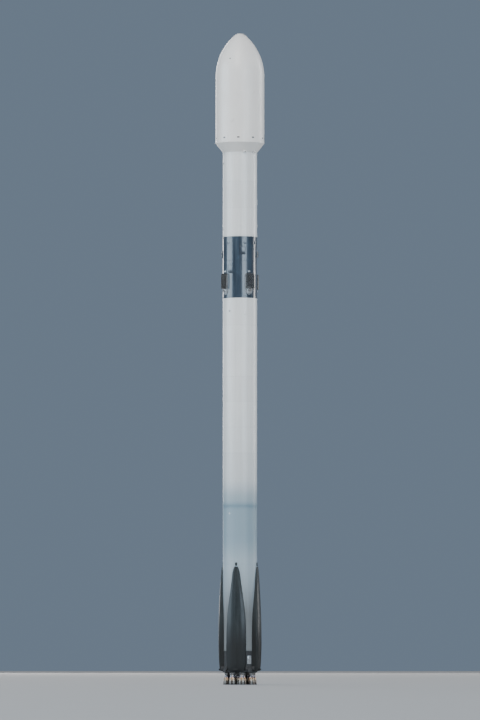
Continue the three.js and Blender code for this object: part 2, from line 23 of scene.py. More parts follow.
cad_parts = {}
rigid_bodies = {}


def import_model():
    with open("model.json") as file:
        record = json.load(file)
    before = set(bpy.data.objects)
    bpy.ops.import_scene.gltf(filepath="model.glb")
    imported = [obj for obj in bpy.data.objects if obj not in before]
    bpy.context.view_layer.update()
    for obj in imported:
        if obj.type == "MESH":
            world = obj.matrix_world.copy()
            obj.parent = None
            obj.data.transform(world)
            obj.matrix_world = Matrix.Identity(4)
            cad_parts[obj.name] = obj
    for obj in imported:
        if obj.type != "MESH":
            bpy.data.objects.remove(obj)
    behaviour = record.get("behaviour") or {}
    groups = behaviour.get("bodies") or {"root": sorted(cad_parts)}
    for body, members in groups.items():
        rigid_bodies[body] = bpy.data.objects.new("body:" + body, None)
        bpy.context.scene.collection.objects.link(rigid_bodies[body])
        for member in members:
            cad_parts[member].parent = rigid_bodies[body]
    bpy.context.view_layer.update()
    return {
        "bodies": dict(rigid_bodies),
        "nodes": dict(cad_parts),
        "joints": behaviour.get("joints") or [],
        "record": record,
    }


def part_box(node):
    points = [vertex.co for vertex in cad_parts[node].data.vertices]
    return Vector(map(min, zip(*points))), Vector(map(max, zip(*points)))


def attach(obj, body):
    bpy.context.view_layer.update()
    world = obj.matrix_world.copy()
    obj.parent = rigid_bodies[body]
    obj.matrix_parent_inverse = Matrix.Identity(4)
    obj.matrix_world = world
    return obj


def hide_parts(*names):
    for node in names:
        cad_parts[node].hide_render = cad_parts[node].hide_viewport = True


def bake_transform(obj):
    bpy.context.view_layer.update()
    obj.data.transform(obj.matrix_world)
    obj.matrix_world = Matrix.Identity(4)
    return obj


Triple = tuple[float, float, float]
Colour = Triple
Span = tuple[float, float]
Profile = list[Span]
Places = tuple[Span, ...]

LOG = logging.getLogger("rocket")
AIRFRAME = "airframe"
FROM_AXIS = "from_axis"
TURN = 2 * math.pi
MERGE = 1e-5
SHARP = 32.0
SIDES = (-1, 1)
ORIGIN = Vector((0.0, 0.0, 0.0))
UP = Vector((0.0, 0.0, 1.0))
HERE = Matrix.Identity(4)
OUTWARDS = Matrix.Rotation(math.pi / 2, 4, "Y")
SIDEWAYS = Matrix.Rotation(-math.pi / 2, 4, "X")
LEG_HINGE = Matrix.Translation((0.84, 0.0, 0.225))
NO_SOOT: Span = (-10.0, -9.0)
# Heights where the tanks' foot darkens: soot and painted shade together.
TANK_SOOT_AND_SHADE: Span = (1.6, 5.9)
LEG_SOOT: Span = (1.4, 3.4)


class Slot(Enum):
    """The record's material slots."""

    WHITE = "white_paint"
    FAIRING = "fairing_white"
    COMPOSITE = "black_composite"
    THERMAL = "thermal_black"
    FIN = "fin_metal"
    NOZZLE = "nozzle_metal"
    STRUCTURE = "structure_metal"


def turned(degrees: float) -> Matrix:
    """A turn about Z."""
    return Matrix.Rotation(math.radians(degrees), 4, "Z")


def moved(x: float, y: float, z: float) -> Matrix:
    """A move by x, y and z."""
    return Matrix.Translation((x, y, z))


def at(azimuth: float, height: float, out: float = 0.0) -> Matrix:
    """A place at an azimuth in degrees, a height and a distance from the axis, with +X pointing out."""
    return turned(azimuth) @ moved(out, 0.0, height)


def around(count: int, first: float = 0.0) -> list[Matrix]:
    """Even turns about Z, the first of them in degrees."""
    return [turned(360 / count * i + first) for i in range(count)]


def spread(count: int, length: float) -> list[float]:
    """The middles of equal steps along a length, counted from its own middle."""
    return [length * ((i + 0.5) / count - 0.5) for i in range(count)]


def band(radius: float, height: float, proud: float, half: float, slope: float) -> Profile:
    """A band or groove in a profile: its middle, rise, half its face and the height of each slope."""
    face, wide = radius + proud, half + slope
    return [(radius, height - wide), (face, height - half), (face, height + half), (radius, height + wide)]


def both_ends(end: Profile, low: float, high: float, middle: Sequence[Span] = ()) -> Profile:
    """A profile of a lower end, given as radii and rises, a middle, and the same end turned over."""
    foot = [(radius, low + rise) for radius, rise in end]
    return [*foot, *middle, *((radius, high - rise) for radius, rise in reversed(end))]


def smooth_through(knots: Sequence[Span], place: float) -> float:
    """The height of a smooth curve through rising knots.

    Args:
        knots: Pairs of place and value, in rising order of place.
        place: The place asked for.

    Returns:
        The curve's value there, which never overshoots the knots beside it.
    """
    places, values = zip(*knots)
    slopes = [(v1 - v0) / (p1 - p0) for (p0, v0), (p1, v1) in zip(knots, knots[1:])]
    tangents = [slopes[0]]
    for before, after in zip(slopes, slopes[1:]):
        tangents.append(0.0 if before * after <= 0 else 2 * before * after / (before + after))
    tangents.append(slopes[-1])
    place = min(max(place, places[0]), places[-1])
    i = max(k for k in range(len(slopes)) if places[k] <= place)
    width = places[i + 1] - places[i]
    t = (place - places[i]) / width
    return (
        (2 * t**3 - 3 * t**2 + 1) * values[i]
        + (t**3 - 2 * t**2 + t) * width * tangents[i]
        + (3 * t**2 - 2 * t**3) * values[i + 1]
        + (t**3 - t**2) * width * tangents[i + 1]
    )


class Signal:
    """A value inside a material, with Python's operators as Math nodes."""

    def __init__(self, bench: Bench, socket: bpy.types.NodeSocket) -> None:
        """Wraps an output socket of a node on the bench."""
        self.bench = bench
        self.socket = socket

    def _math(self, operation: str, first: object, second: object = 0.0) -> Signal:
        """The result of one Math node on two values or signals."""
        return self.bench.add("ShaderNodeMath", {"operation": operation}, {0: first, 1: second})[0]

    def __add__(self, other: object) -> Signal:
        """This plus other."""
        return self._math("ADD", self, other)

    __radd__ = __add__

    def __sub__(self, other: object) -> Signal:
        """This minus other."""
        return self._math("SUBTRACT", self, other)

    def __rsub__(self, other: object) -> Signal:
        """Other minus this."""
        return self._math("SUBTRACT", other, self)

    def __mul__(self, other: object) -> Signal:
        """This times other."""
        return self._math("MULTIPLY", self, other)

    __rmul__ = __mul__

    def __truediv__(self, other: object) -> Signal:
        """This over other."""
        return self._math("DIVIDE", self, other)

    def __rtruediv__(self, other: object) -> Signal:
        """Other over this."""
        return self._math("DIVIDE", other, self)

    def least(self, other: object) -> Signal:
        """The smaller of this and other."""
        return self._math("MINIMUM", self, other)

    def most(self, other: object) -> Signal:
        """The larger of this and other."""
        return self._math("MAXIMUM", self, other)

    def wave(self) -> Signal:
        """The sine of this."""
        return self._math("SINE", self)

    def whole(self) -> Signal:
        """This rounded down."""
        return self._math("FLOOR", self)

    def off_whole(self) -> Signal:
        """How far this is from the nearest whole number."""
        part = self - self.whole()
        return part.least(1.0 - part)

    def bearing(self, x: Signal) -> Signal:
        """The angle about Z of the point at x and this as its y."""
        return self._math("ARCTAN2", self, x)


class Placed:
    """A node that has been added, whose outputs are read by number or name."""

    def __init__(self, bench: Bench, node: bpy.types.Node) -> None:
        """Wraps a node on the bench."""
        self.bench = bench
        self.node = node

    def __getitem__(self, key: int | str) -> Signal:
        """The output of that number or name."""
        return Signal(self.bench, self.node.outputs[key])


class Bench:
    """The node tree of one material, with its shader ready to be fed."""

    def __init__(self, name: str) -> None:
        """Starts a material.

        Args:
            name: The material's name.
        """
        self.material = bpy.data.materials.new(name)
        self.material.use_nodes = True
        self.tree = self.material.node_tree
        self.shader = self.tree.nodes["Principled BSDF"]

    def add(self, kind: str, settings: dict[str, object], sockets: dict[int | str, object]) -> Placed:
        """Adds one node.

        Args:
            kind: The node's type.
            settings: Its settings, which are set before its sockets. A ramp's stops are pairs of place
                and colour.
            sockets: Values or signals for its inputs, by number or name.

        Returns:
            The node, whose outputs are read by number or name.
        """
        node = self.tree.nodes.new(kind)
        for key, value in settings.items():
            if key == "stops":
                self._set_stops(node.color_ramp, value)
            else:
                setattr(node, key, value)
        for key, value in sockets.items():
            self._feed(node.inputs[key], value)
        return Placed(self, node)

    def feed(self, sockets: dict[str, object]) -> None:
        """Sets or links inputs of the material's shader."""
        for key, value in sockets.items():
            self._feed(self.shader.inputs[key], value)

    def _feed(self, socket: bpy.types.NodeSocket, value: object) -> None:
        """Sets a socket to a value, or links it to a signal.

        Args:
            socket: The input.
            value: A signal, a number, or a tuple of numbers. A colour gets full alpha.
        """
        if isinstance(value, Signal):
            self.tree.links.new(value.socket, socket)
        elif isinstance(value, tuple) and socket.type == "RGBA":
            socket.default_value = (*value, 1.0)
        else:
            socket.default_value = value

    @staticmethod
    def _set_stops(ramp: bpy.types.ColorRamp, stops: Sequence[tuple[float, Colour]]) -> None:
        """Gives a colour ramp its stops.

        Args:
            ramp: The ramp.
            stops: Pairs of place and colour, in rising order of place.
        """
        while len(ramp.elements) < len(stops):
            ramp.elements.new(1.0)
        for element, (place, colour) in zip(ramp.elements, stops):
            element.position = place
            element.color = (*colour, 1.0)

    def place(self, scale: Triple = (1.0, 1.0, 1.0)) -> Signal:
        """The object's own coordinates, stretched along each axis."""
        spot = self.add("ShaderNodeTexCoord", {}, {})["Object"]
        return self.add("ShaderNodeMapping", {}, {"Vector": spot, "Scale": scale})[0]

    def split(self, vector: Signal) -> tuple[Signal, Signal, Signal]:
        """The x, y and z of a vector."""
        parts = self.add("ShaderNodeSeparateXYZ", {}, {0: vector})
        return parts[0], parts[1], parts[2]

    def clouds(self, vector: Signal, scale: float, detail: float = 3.0, rough: float = 0.55) -> Signal:
        """Soft noise about a half: its patches to a metre, and how many finer layers of what strength."""
        sockets = {"Vector": vector, "Scale": scale, "Detail": detail, "Roughness": rough}
        return self.add("ShaderNodeTexNoise", {"noise_dimensions": "3D"}, sockets)["Fac"]

    def between(
        self, value: Signal, low: float, high: float, start: float = 0.0, end: float = 1.0
    ) -> Signal:
        """Takes a value smoothly from one level to another.

        Args:
            value: The value.
            low: Where the change begins.
            high: Where it ends.
            start: The result up to low.
            end: The result from high on.

        Returns:
            The result.
        """
        settings = {"interpolation_type": "SMOOTHSTEP"}
        sockets = {"Value": value, "From Min": low, "From Max": high, "To Min": start, "To Max": end}
        return self.add("ShaderNodeMapRange", settings, sockets)[0]

    def blend(self, share: object, first: object, second: object) -> Signal:
        """Two colours mixed, the first at a share of 0 and the second at 1."""
        sockets = {"Factor": share, 6: first, 7: second}
        return self.add("ShaderNodeMix", {"data_type": "RGBA"}, sockets)[2]

    def tone(self, colour: object, strength: Signal) -> Signal:
        """Makes a colour lighter or darker by a factor."""
        grey = self.add("ShaderNodeCombineXYZ", {}, {0: strength, 1: strength, 2: strength})[0]
        return self.add("ShaderNodeVectorMath", {"operation": "MULTIPLY"}, {0: colour, 1: grey})[0]

    def relief(self, height: Signal, strength: float, distance: float) -> Signal:
        """A normal bumped by a height from 0 to 1, which stands for a distance in metres."""
        sockets = {"Strength": strength, "Distance": distance, "Height": height}
        return self.add("ShaderNodeBump", {}, sockets)[0]


@dataclass(frozen=True)
class Finish:
    """A surface finish. It is made once, and every piece in it shares its material."""

    name: str
    slot: Slot

    def dress(self, bench: Bench) -> None:
        """Feeds the shader of a new material on its bench."""
        raise NotImplementedError

    def coat(self) -> bpy.types.Material:
        """The finish's material, which is made on first use.

        Returns:
            The material.
        """
        made = bpy.data.materials.get(self.name)
        if made:
            return made
        bench = Bench(self.name)
        self.dress(bench)
        return bench.material


@dataclass(frozen=True)
class PaintedSkin(Finish):
    """White paint on welded metal tanks, with rain streaks, barrel by barrel tone and a foot darkened by
    soot and painted shade.

    Its spans are heights on the rocket or distances from a weld. A dull shade stop is a height and the
    share there of a blue-grey painted shade, which also makes the paint rougher and thins its clear coat.
    """

    colour: Colour
    shade: Colour
    soot: Span = NO_SOOT
    upright_welds: float = 0.8
    barrel: float = 1.45
    barrel_start: float = 0.0
    soot_colour: Colour = (0.12, 0.115, 0.11)
    # Painted shade: a blue-grey mixed into the paint by height, strong over the lower tank and at the joint
    # between the tanks, and gone above 15.5 m.
    shade_blue: Colour = (0.175, 0.26, 0.315)
    dull_shade_stops: Places = (
        (0.0, 0.70), (6.0, 0.72), (7.0, 0.90), (8.72, 0.90), (8.84, 1.0), (8.96, 1.0),
        (9.08, 0.84), (9.5, 0.74), (9.9, 0.52), (10.4, 0.28), (12.5, 0.16), (15.5, 0.0),
    )
    top: float = 35.0
    sheets: int = 3
    girth: float = 5.75
    barrel_weld: Span = (0.018, 0.034)
    sheet_weld: Span = (0.006, 0.014)
    roughness: float = 0.34

    def dress(self, bench: Bench) -> None:
        """Feeds the shader.

        Args:
            bench: The material's bench.
        """
        spot = bench.place()
        x, y, height = bench.split(spot)
        streaks = bench.clouds(bench.place((7.0, 7.0, 0.22)), 1.0, 4.0)
        fine_streaks = bench.clouds(bench.place((34.0, 34.0, 0.6)), 1.0, 2.0)
        patches = bench.clouds(spot, 0.9, 4.0)
        along = (height - self.barrel_start) / self.barrel
        barrel_tone = bench.add(
            "ShaderNodeTexWhiteNoise", {"noise_dimensions": "1D"}, {"W": along.whole()}
        )["Value"]
        seam = bench.between(along.off_whole() * self.barrel, *self.barrel_weld, 1.0, 0.0)
        sheet = y.bearing(x) * (self.sheets / TURN) + barrel_tone * 5.0
        from_edge = sheet.off_whole() * (self.girth / self.sheets)
        upright = bench.between(from_edge, *self.sheet_weld, self.upright_welds, 0.0)
        dirt = bench.between(streaks * 0.65 + fine_streaks * 0.35, 0.40, 0.74)
        cloud = bench.between(patches, 0.3, 0.75)
        base = bench.blend(dirt * 0.55 + cloud * 0.3 + seam * 0.2 + upright * 0.3, self.colour, self.shade)
        base = bench.tone(base, 0.94 + barrel_tone * 0.06 + cloud * 0.02)
        # Painted shade: the share of the blue-grey at each height, which also makes the paint rougher and
        # thins its coat.
        stops = [(level / self.top, (share, share, share)) for level, share in self.dull_shade_stops]
        dull_and_shade = bench.add("ShaderNodeValToRGB", {"stops": stops}, {0: height / self.top})[0]
        base = bench.blend(dull_and_shade, base, self.shade_blue)
        # Darker towards the foot, with streaks: soot and painted shade together.
        foot = bench.between(height, *self.soot, 1.0, 0.0)
        soot = (foot * (0.6 + streaks)).least(0.8)
        grain = bench.clouds(spot, 90.0, 2.0)
        bench.feed({
            "Base Color": bench.blend(soot, base, self.soot_colour),
            "Roughness": self.roughness + dirt * 0.14 + patches * 0.08 + soot * 0.2 + dull_and_shade * 0.16,
            "Coat Weight": (0.25 - soot * 0.2) * (1.0 - dull_and_shade * 0.8),
            "Coat Roughness": 0.18,
            "Normal": bench.relief(grain * 0.3 + patches * 0.7 + upright * 0.6, 0.25, 0.004),
        })


@dataclass(frozen=True)
class FairingCoat(Finish):
    """The satin white coat of a composite shell, with faint sanded patches and a scorched tip."""

    colour: Colour = (0.86, 0.81, 0.76)
    shade: Colour = (0.72, 0.68, 0.645)
    scorch: Span = (33.9, 34.35)

    def dress(self, bench: Bench) -> None:
        """Feeds the shader.

        Args:
            bench: The material's bench.
        """
        spot = bench.place()
        _, _, height = bench.split(spot)
        patches = bench.clouds(spot, 1.3, 4.0)
        streaks = bench.clouds(bench.place((9.0, 9.0, 0.3)), 1.0, 3.0)
        worn = bench.between(patches * 0.6 + streaks * 0.4, 0.42, 0.72)
        scorched = bench.between(height, *self.scorch) * 0.22
        bench.feed({
            "Base Color": bench.blend(worn * 0.34 + scorched, self.colour, self.shade),
            "Roughness": 0.38 + worn * 0.14,
            "Coat Weight": 0.2 - worn * 0.1,
            "Coat Roughness": 0.2,
            "Normal": bench.relief(bench.clouds(spot, 120.0, 2.0) * 0.4 + patches * 0.6, 0.2, 0.003),
        })


@dataclass(frozen=True)
class GlossComposite(Finish):
    """Near-black woven composite under a clear coat, dull with soot below a height."""

    # The default colour and haze are tinted blue: a painted reflection of a blue sky.
    colour: Colour = (0.013, 0.023, 0.037)
    haze: Colour = (0.044, 0.080, 0.120)
    roughness: float = 0.28
    coat_weight: float = 0.8
    weave: float = 0.012
    specular: float = 0.5
    soot: Span = NO_SOOT
    soot_colour: Colour = (0.010, 0.010, 0.010)

    def dress(self, bench: Bench) -> None:
        """Feeds the shader.

        Args:
            bench: The material's bench.
        """
        spot = bench.place()
        x, y, height = bench.split(spot)
        pitch = math.pi / self.weave
        warp = ((x + y + height) * pitch).wave()
        weft = ((x + y - height) * pitch).wave()
        smears = bench.between(bench.clouds(bench.place((5.0, 5.0, 0.5)), 1.0, 5.0), 0.35, 0.75)
        dust = bench.between(bench.clouds(spot, 2.2, 5.0), 0.5, 0.8)
        base = bench.blend(smears * 0.45 + dust * 0.4, self.colour, self.haze)
        soot = bench.between(height + smears * 0.5, *self.soot, 0.8, 0.0)
        bench.feed({
            "Base Color": bench.blend(soot, base, self.soot_colour),
            "Roughness": self.roughness + smears * 0.12 + dust * 0.1 + soot * 0.25,
            "Specular IOR Level": self.specular,
            "Coat Weight": (self.coat_weight - dust * 0.3).most(0.0) * (1.0 - soot),
            "Coat Roughness": 0.13,
            "Normal": bench.relief(warp * weft * 0.5 + 0.5, 0.12, 0.0006),
        })


@dataclass(frozen=True)
class ThermalCoat(Finish):
    """Matte sprayed-on insulation over the engine section, mottled and a little ashy."""

    colour: Colour = (0.022, 0.022, 0.024)
    ash: Colour = (0.085, 0.082, 0.078)

    def dress(self, bench: Bench) -> None:
        """Feeds the shader.

        Args:
            bench: The material's bench.
        """
        spot = bench.place()
        mottle = bench.clouds(spot, 5.0, 6.0, 0.65)
        grain = bench.clouds(spot, 70.0, 3.0, 0.7)
        ash = bench.between(mottle, 0.46, 0.78) * 0.7 + bench.between(grain, 0.55, 0.8) * 0.2
        bench.feed({
            "Base Color": bench.blend(ash, self.colour, self.ash),
            "Roughness": 0.62 + ash * 0.25,
            "Normal": bench.relief(grain * 0.6 + mottle * 0.4, 0.5, 0.004),
        })


@dataclass(frozen=True)
class BareMetal(Finish):
    """Worked metal with fine brushing, smudges and a dark patina in patches.

    Its brushing is stretched along each axis, and its pits show where it is cast rather than machined.
    """

    colour: Colour
    patina: Colour
    roughness: float
    brushing: Triple = (30.0, 30.0, 4.0)
    cast: float = 0.0

    def dress(self, bench: Bench) -> None:
        """Feeds the shader.

        Args:
            bench: The material's bench.
        """
        spot = bench.place()
        brushed = bench.clouds(bench.place(self.brushing), 6.0, 3.0)
        smudge = bench.between(bench.clouds(spot, 7.0, 5.0), 0.42, 0.72)
        pits = bench.clouds(spot, 160.0, 3.0, 0.7)
        bench.feed({
            "Base Color": bench.blend(smudge * 0.7 + brushed * 0.2, self.colour, self.patina),
            "Metallic": 0.94 - smudge * 0.18,
            "Roughness": self.roughness + smudge * 0.2 + brushed * 0.1,
            "Normal": bench.relief(brushed * (1.0 - self.cast) + pits * self.cast, 0.3, 0.0012),
        })


@dataclass(frozen=True)
class NozzleAlloy(Finish):
    """A rocket bell's channel-wall metal, straw and blue towards the throat and sooty at the lip.

    It reads the mesh's own attribute, which counts from each engine's axis. Its heat stops run from the
    lip to the neck.
    """

    channels: float = 180.0
    lip: float = -0.65
    neck: float = -0.1
    soot_colour: Colour = (0.035, 0.033, 0.032)
    heat_stops: tuple[tuple[float, Colour], ...] = (
        (0.0, (0.045, 0.042, 0.040)),
        (0.22, (0.13, 0.115, 0.10)),
        (0.48, (0.27, 0.215, 0.16)),
        (0.68, (0.30, 0.19, 0.115)),
        (0.84, (0.17, 0.16, 0.20)),
        (1.0, (0.30, 0.29, 0.285)),
    )

    def dress(self, bench: Bench) -> None:
        """Feeds the shader.

        Args:
            bench: The material's bench.
        """
        spot = bench.add("ShaderNodeAttribute", {"attribute_name": FROM_AXIS}, {})["Vector"]
        x, y, height = bench.split(spot)
        ribs = (y.bearing(x) * self.channels).wave() * 0.5 + 0.5
        patches = bench.clouds(spot, 9.0, 5.0)
        level = bench.between(height + patches * 0.12 - 0.06, self.lip, self.neck)
        heat = bench.add("ShaderNodeValToRGB", {"stops": self.heat_stops}, {0: level})[0]
        soot = bench.between(patches, 0.48, 0.74)
        bench.feed({
            "Base Color": bench.blend(soot * 0.45, heat, self.soot_colour),
            "Metallic": 0.95 - soot * 0.3,
            "Roughness": 0.26 + soot * 0.28,
            "Normal": bench.relief(ribs, 0.35, 0.0016),
        })


@dataclass(frozen=True)
class WovenCloth(Finish):
    """A coated fabric: woven threads, with dust in the folds."""

    colour: Colour
    dust: Colour
    thread: float = 0.004
    roughness: float = 0.75

    def dress(self, bench: Bench) -> None:
        """Feeds the shader.

        Args:
            bench: The material's bench.
        """
        spot = bench.place()
        x, y, height = bench.split(spot)
        pitch = math.pi / self.thread
        threads = ((x + y) * pitch).wave() * (height * pitch).wave() * 0.5 + 0.5
        patches = bench.between(bench.clouds(spot, 6.0, 5.0), 0.4, 0.75)
        bench.feed({
            "Base Color": bench.blend(patches * 0.6 + threads * 0.15, self.colour, self.dust),
            "Roughness": self.roughness + patches * 0.15,
            "Normal": bench.relief(threads, 0.4, 0.001),
        })


@dataclass(frozen=True)
class DarkGlass(Finish):
    """A small lens under a faint film."""

    colour: Colour = (0.004, 0.005, 0.008)
    film: Colour = (0.015, 0.017, 0.022)

    def dress(self, bench: Bench) -> None:
        """Feeds the shader.

        Args:
            bench: The material's bench.
        """
        film = bench.clouds(bench.place(), 30.0, 3.0)
        bench.feed({
            "Base Color": bench.blend(film, self.colour, self.film),
            "Roughness": 0.06 + film * 0.1,
            "Coat Weight": 1.0,
        })


UPPER_WHITE = PaintedSkin("tank_white", Slot.WHITE, (0.80, 0.785, 0.76), (0.66, 0.65, 0.63))
LOWER_WHITE = PaintedSkin("foot_white", Slot.WHITE, (0.745, 0.755, 0.755), (0.60, 0.61, 0.61), TANK_SOOT_AND_SHADE)
TUNNEL_WHITE = replace(UPPER_WHITE, name="tunnel_white", soot=TANK_SOOT_AND_SHADE, upright_welds=0.0)
FAIRING_WHITE = FairingCoat("fairing_coat", Slot.FAIRING)
# Its blue tint is a painted reflection of a blue sky.
STAGE_BLACK = GlossComposite("stage_black", Slot.COMPOSITE)
# The legs' slight teal tint is a painted sheen.
LEG_BLACK = GlossComposite(
    "leg_black", Slot.COMPOSITE, (0.012, 0.017, 0.019), (0.038, 0.048, 0.052),
    roughness=0.42, coat_weight=0.15, weave=0.02, specular=0.3, soot=LEG_SOOT,
)
LAMINATE = GlossComposite(
    "bare_laminate", Slot.FAIRING, (0.20, 0.205, 0.17), (0.31, 0.31, 0.27),
    roughness=0.48, coat_weight=0.15, weave=0.02,
)
INSULATION = ThermalCoat("thermal_coat", Slot.THERMAL)
FIN_TITANIUM = BareMetal(
    "fin_titanium", Slot.FIN, (0.31, 0.30, 0.29), (0.14, 0.13, 0.125), 0.38, (12.0, 12.0, 12.0), 0.7
)
ALUMINIUM = BareMetal("machined_aluminium", Slot.STRUCTURE, (0.56, 0.57, 0.58), (0.33, 0.33, 0.34), 0.3)
STEEL = BareMetal("fastener_steel", Slot.STRUCTURE, (0.42, 0.42, 0.43), (0.20, 0.19, 0.18), 0.28)
NOZZLE = NozzleAlloy("nozzle_alloy", Slot.NOZZLE)
BOOT_CLOTH = WovenCloth("boot_cloth", Slot.THERMAL, (0.16, 0.155, 0.15), (0.30, 0.29, 0.27))
BLANKET_CLOTH = WovenCloth("blanket_cloth", Slot.FAIRING, (0.62, 0.61, 0.58), (0.48, 0.46, 0.43), 0.006)
LENS = DarkGlass("dark_glass", Slot.STRUCTURE)


class Mold:
    """A piece's mesh while it is being shaped."""

    def __init__(self) -> None:
        """Starts with nothing in it."""
        self.bm = bmesh.new()

    def revolve(
        self, profile: Profile, segments: int, loop: bool = False, start: float = 0.0, sweep: float = TURN
    ) -> Mold:
        """Turns a profile about Z.

        Args:
            profile: Points of radius and height.
            segments: How many steps the turn has.
            loop: Whether the profile closes on itself, as a wall's section does.
            start: The angle where the turn starts, in radians.
            sweep: How far it goes round. A part turn of a loop gets flat ends.

        Returns:
            The mold.
        """
        single = Mold()
        turn = Matrix.Rotation(start, 3, "Z")
        verts = [single.bm.verts.new(turn @ Vector((radius, 0.0, height))) for radius, height in profile]
        edges = [single.bm.edges.new(pair) for pair in zip(verts, verts[1:])]
        if loop:
            edges.append(single.bm.edges.new((verts[-1], verts[0])))
        full = sweep >= TURN - MERGE
        faces = [single.bm.faces.new(verts)] if loop and not full else []
        bmesh.ops.spin(
            single.bm, geom=[*verts, *edges, *faces], cent=ORIGIN, axis=UP, dvec=ORIGIN, angle=sweep,
            steps=segments, use_merge=full, use_duplicate=False,
        )
        bmesh.ops.remove_doubles(single.bm, verts=single.bm.verts, dist=MERGE)
        return self.stamp(single)

    def block(self, size: Triple, place: Matrix, bevel: float = 0.0, steps: int = 2) -> Mold:
        """Adds a box.

        Args:
            size: Its length along x, y and z.
            place: Where its centre goes.
            bevel: How much its edges are rounded.
            steps: How many steps the rounding has.

        Returns:
            The mold.
        """
        single = Mold()
        bmesh.ops.create_cube(single.bm, size=1.0, matrix=Matrix.Diagonal((*size, 1.0)))
        return self.stamp(single.soften(bevel, steps), [place])

    def rod(
        self, radius: float, length: float, place: Matrix, segments: int = 24, bevel: float = 0.0
    ) -> Mold:
        """Adds a round bar that stands on its place along its own +Z.

        Args:
            radius: Its radius.
            length: Its length.
            place: Where its foot goes and which way it points.
            segments: How many sides it has.
            bevel: How much its edges are rounded.

        Returns:
            The mold.
        """
        single = Mold()
        bmesh.ops.create_cone(
            single.bm, cap_ends=True, cap_tris=False, segments=segments, radius1=radius, radius2=radius,
            depth=length, matrix=moved(0.0, 0.0, length / 2),
        )
        return self.stamp(single.soften(bevel, 2), [place])

    def trunnions(
        self, radius: float, ends: Span, place: Matrix, segments: int = 24, bevel: float = 0.0
    ) -> Mold:
        """Adds a round bar along Y on each side of a place.

        Args:
            radius: The bars' radius.
            ends: How far from the place each bar starts and stops.
            place: The middle between them.
            segments: How many sides they have.
            bevel: How much their edges are rounded.

        Returns:
            The mold.
        """
        near, far = ends
        for start in (-far, near):
            self.rod(radius, far - near, place @ moved(0.0, start, 0.0) @ SIDEWAYS, segments, bevel)
        return self

    def slab(
        self, across: float, high: float, deep: float, corner: float = 0.0, bevel: float = 0.0,
        columns: int = 1,
    ) -> Mold:
        """Adds a flat plate, whose back is at x = 0 and whose middle is at y = z = 0.

        Args:
            across: Its width along y.
            high: Its height along z.
            deep: Its thickness along x.
            corner: The radius of its corners.
            bevel: How much its front edges are rounded.
            columns: How many strips it is cut into across, so that it can bend.

        Returns:
            The mold.
        """
        single = Mold()
        place = moved(deep / 2, 0.0, 0.0) @ Matrix.Diagonal((deep, across, high, 1.0))
        bmesh.ops.create_cube(single.bm, size=1.0, matrix=place)
        if corner > 0:
            upright = [e for e in single.bm.edges if abs(e.verts[0].co.x - e.verts[1].co.x) > deep / 2]
            single.bevel(upright, corner, 5)
        if bevel > 0:
            front = [e for e in single.bm.edges if all(v.co.x > deep - MERGE for v in e.verts)]
            single.bevel(front, bevel, 2)
        for i in range(1, columns):
            single.cut((0.0, across * (i / columns - 0.5), 0.0), (0.0, 1.0, 0.0))
        return self.stamp(single)

    def flat(self, outline: Sequence[Span]) -> Mold:
        """Adds one flat face through points of x and y."""
        self.bm.faces.new([self.bm.verts.new((x, y, 0.0)) for x, y in outline])
        return self

    def pipe(self, route: Profile, azimuth: float, radius: float, segments: int) -> Mold:
        """Adds a round pipe with closed ends, in a plane through the axis.

        Args:
            route: Its centreline's points, as distance from the axis and height.
            azimuth: The plane's turn about Z, in degrees.
            radius: Its radius.
            segments: How many sides it has.

        Returns:
            The mold.
        """
        points = [turned(azimuth) @ Vector((out, 0.0, height)) for out, height in route]
        last = len(points) - 1
        rings = []
        for i, point in enumerate(points):
            way = (points[min(i + 1, last)] - points[max(i - 1, 0)]).normalized()
            place = Matrix.Translation(point) @ way.to_track_quat("Z", "Y").to_matrix().to_4x4()
            made = bmesh.ops.create_circle(
                self.bm, cap_ends=i in (0, last), segments=segments, radius=radius, matrix=place
            )
            ring = set(made["verts"])
            rings.append({e for v in ring for e in v.link_edges if ring.issuperset(e.verts)})
        for before, after in zip(rings, rings[1:]):
            bmesh.ops.bridge_loops(self.bm, edges=list(before | after))
        return self

    def bolts(self, size: float, places: Iterable[Matrix]) -> Mold:
        """Adds hexagon heads on washers, which stand out along +X of their places.

        Args:
            size: A head's radius.
            places: Where they go.

        Returns:
            The mold.
        """
        bolt = Mold().rod(size * 1.3, size * 0.25, OUTWARDS, 12)
        bolt.rod(size, size * 0.9, OUTWARDS @ moved(0.0, 0.0, size * 0.25), 6)
        return self.stamp(bolt, places)

    def bolt_ring(self, size: float, radius: float, height: float, count: int) -> Mold:
        """Adds a ring of bolts round the axis, the first one turned off the seams."""
        spot = moved(radius, 0.0, height)
        return self.bolts(size, [turn @ spot for turn in around(count, math.degrees(size / radius))])

    def studs(self, size: Span, count: int, out: float, height: float, first: float = 0.0) -> Mold:
        """Adds a ring of small six-sided heads, which stand up along Z.

        Args:
            size: A head's radius and height.
            count: How many there are.
            out: The ring's radius.
            height: The height that they stand on.
            first: The first one's azimuth in degrees.

        Returns:
            The mold.
        """
        for turn in around(count, first):
            self.rod(*size, turn @ moved(out, 0.0, height), 6)
        return self

    def bevel(self, edges: Iterable[bmesh.types.BMEdge], offset: float, steps: int) -> Mold:
        """Rounds some edges.

        Args:
            edges: The edges.
            offset: How far the rounding reaches from each.
            steps: How many steps it has.

        Returns:
            The mold.
        """
        bmesh.ops.bevel(
            self.bm, geom=list(edges), offset=offset, offset_type="OFFSET", segments=steps, profile=0.5,
            affect="EDGES", clamp_overlap=True, material=-1,
        )
        return self

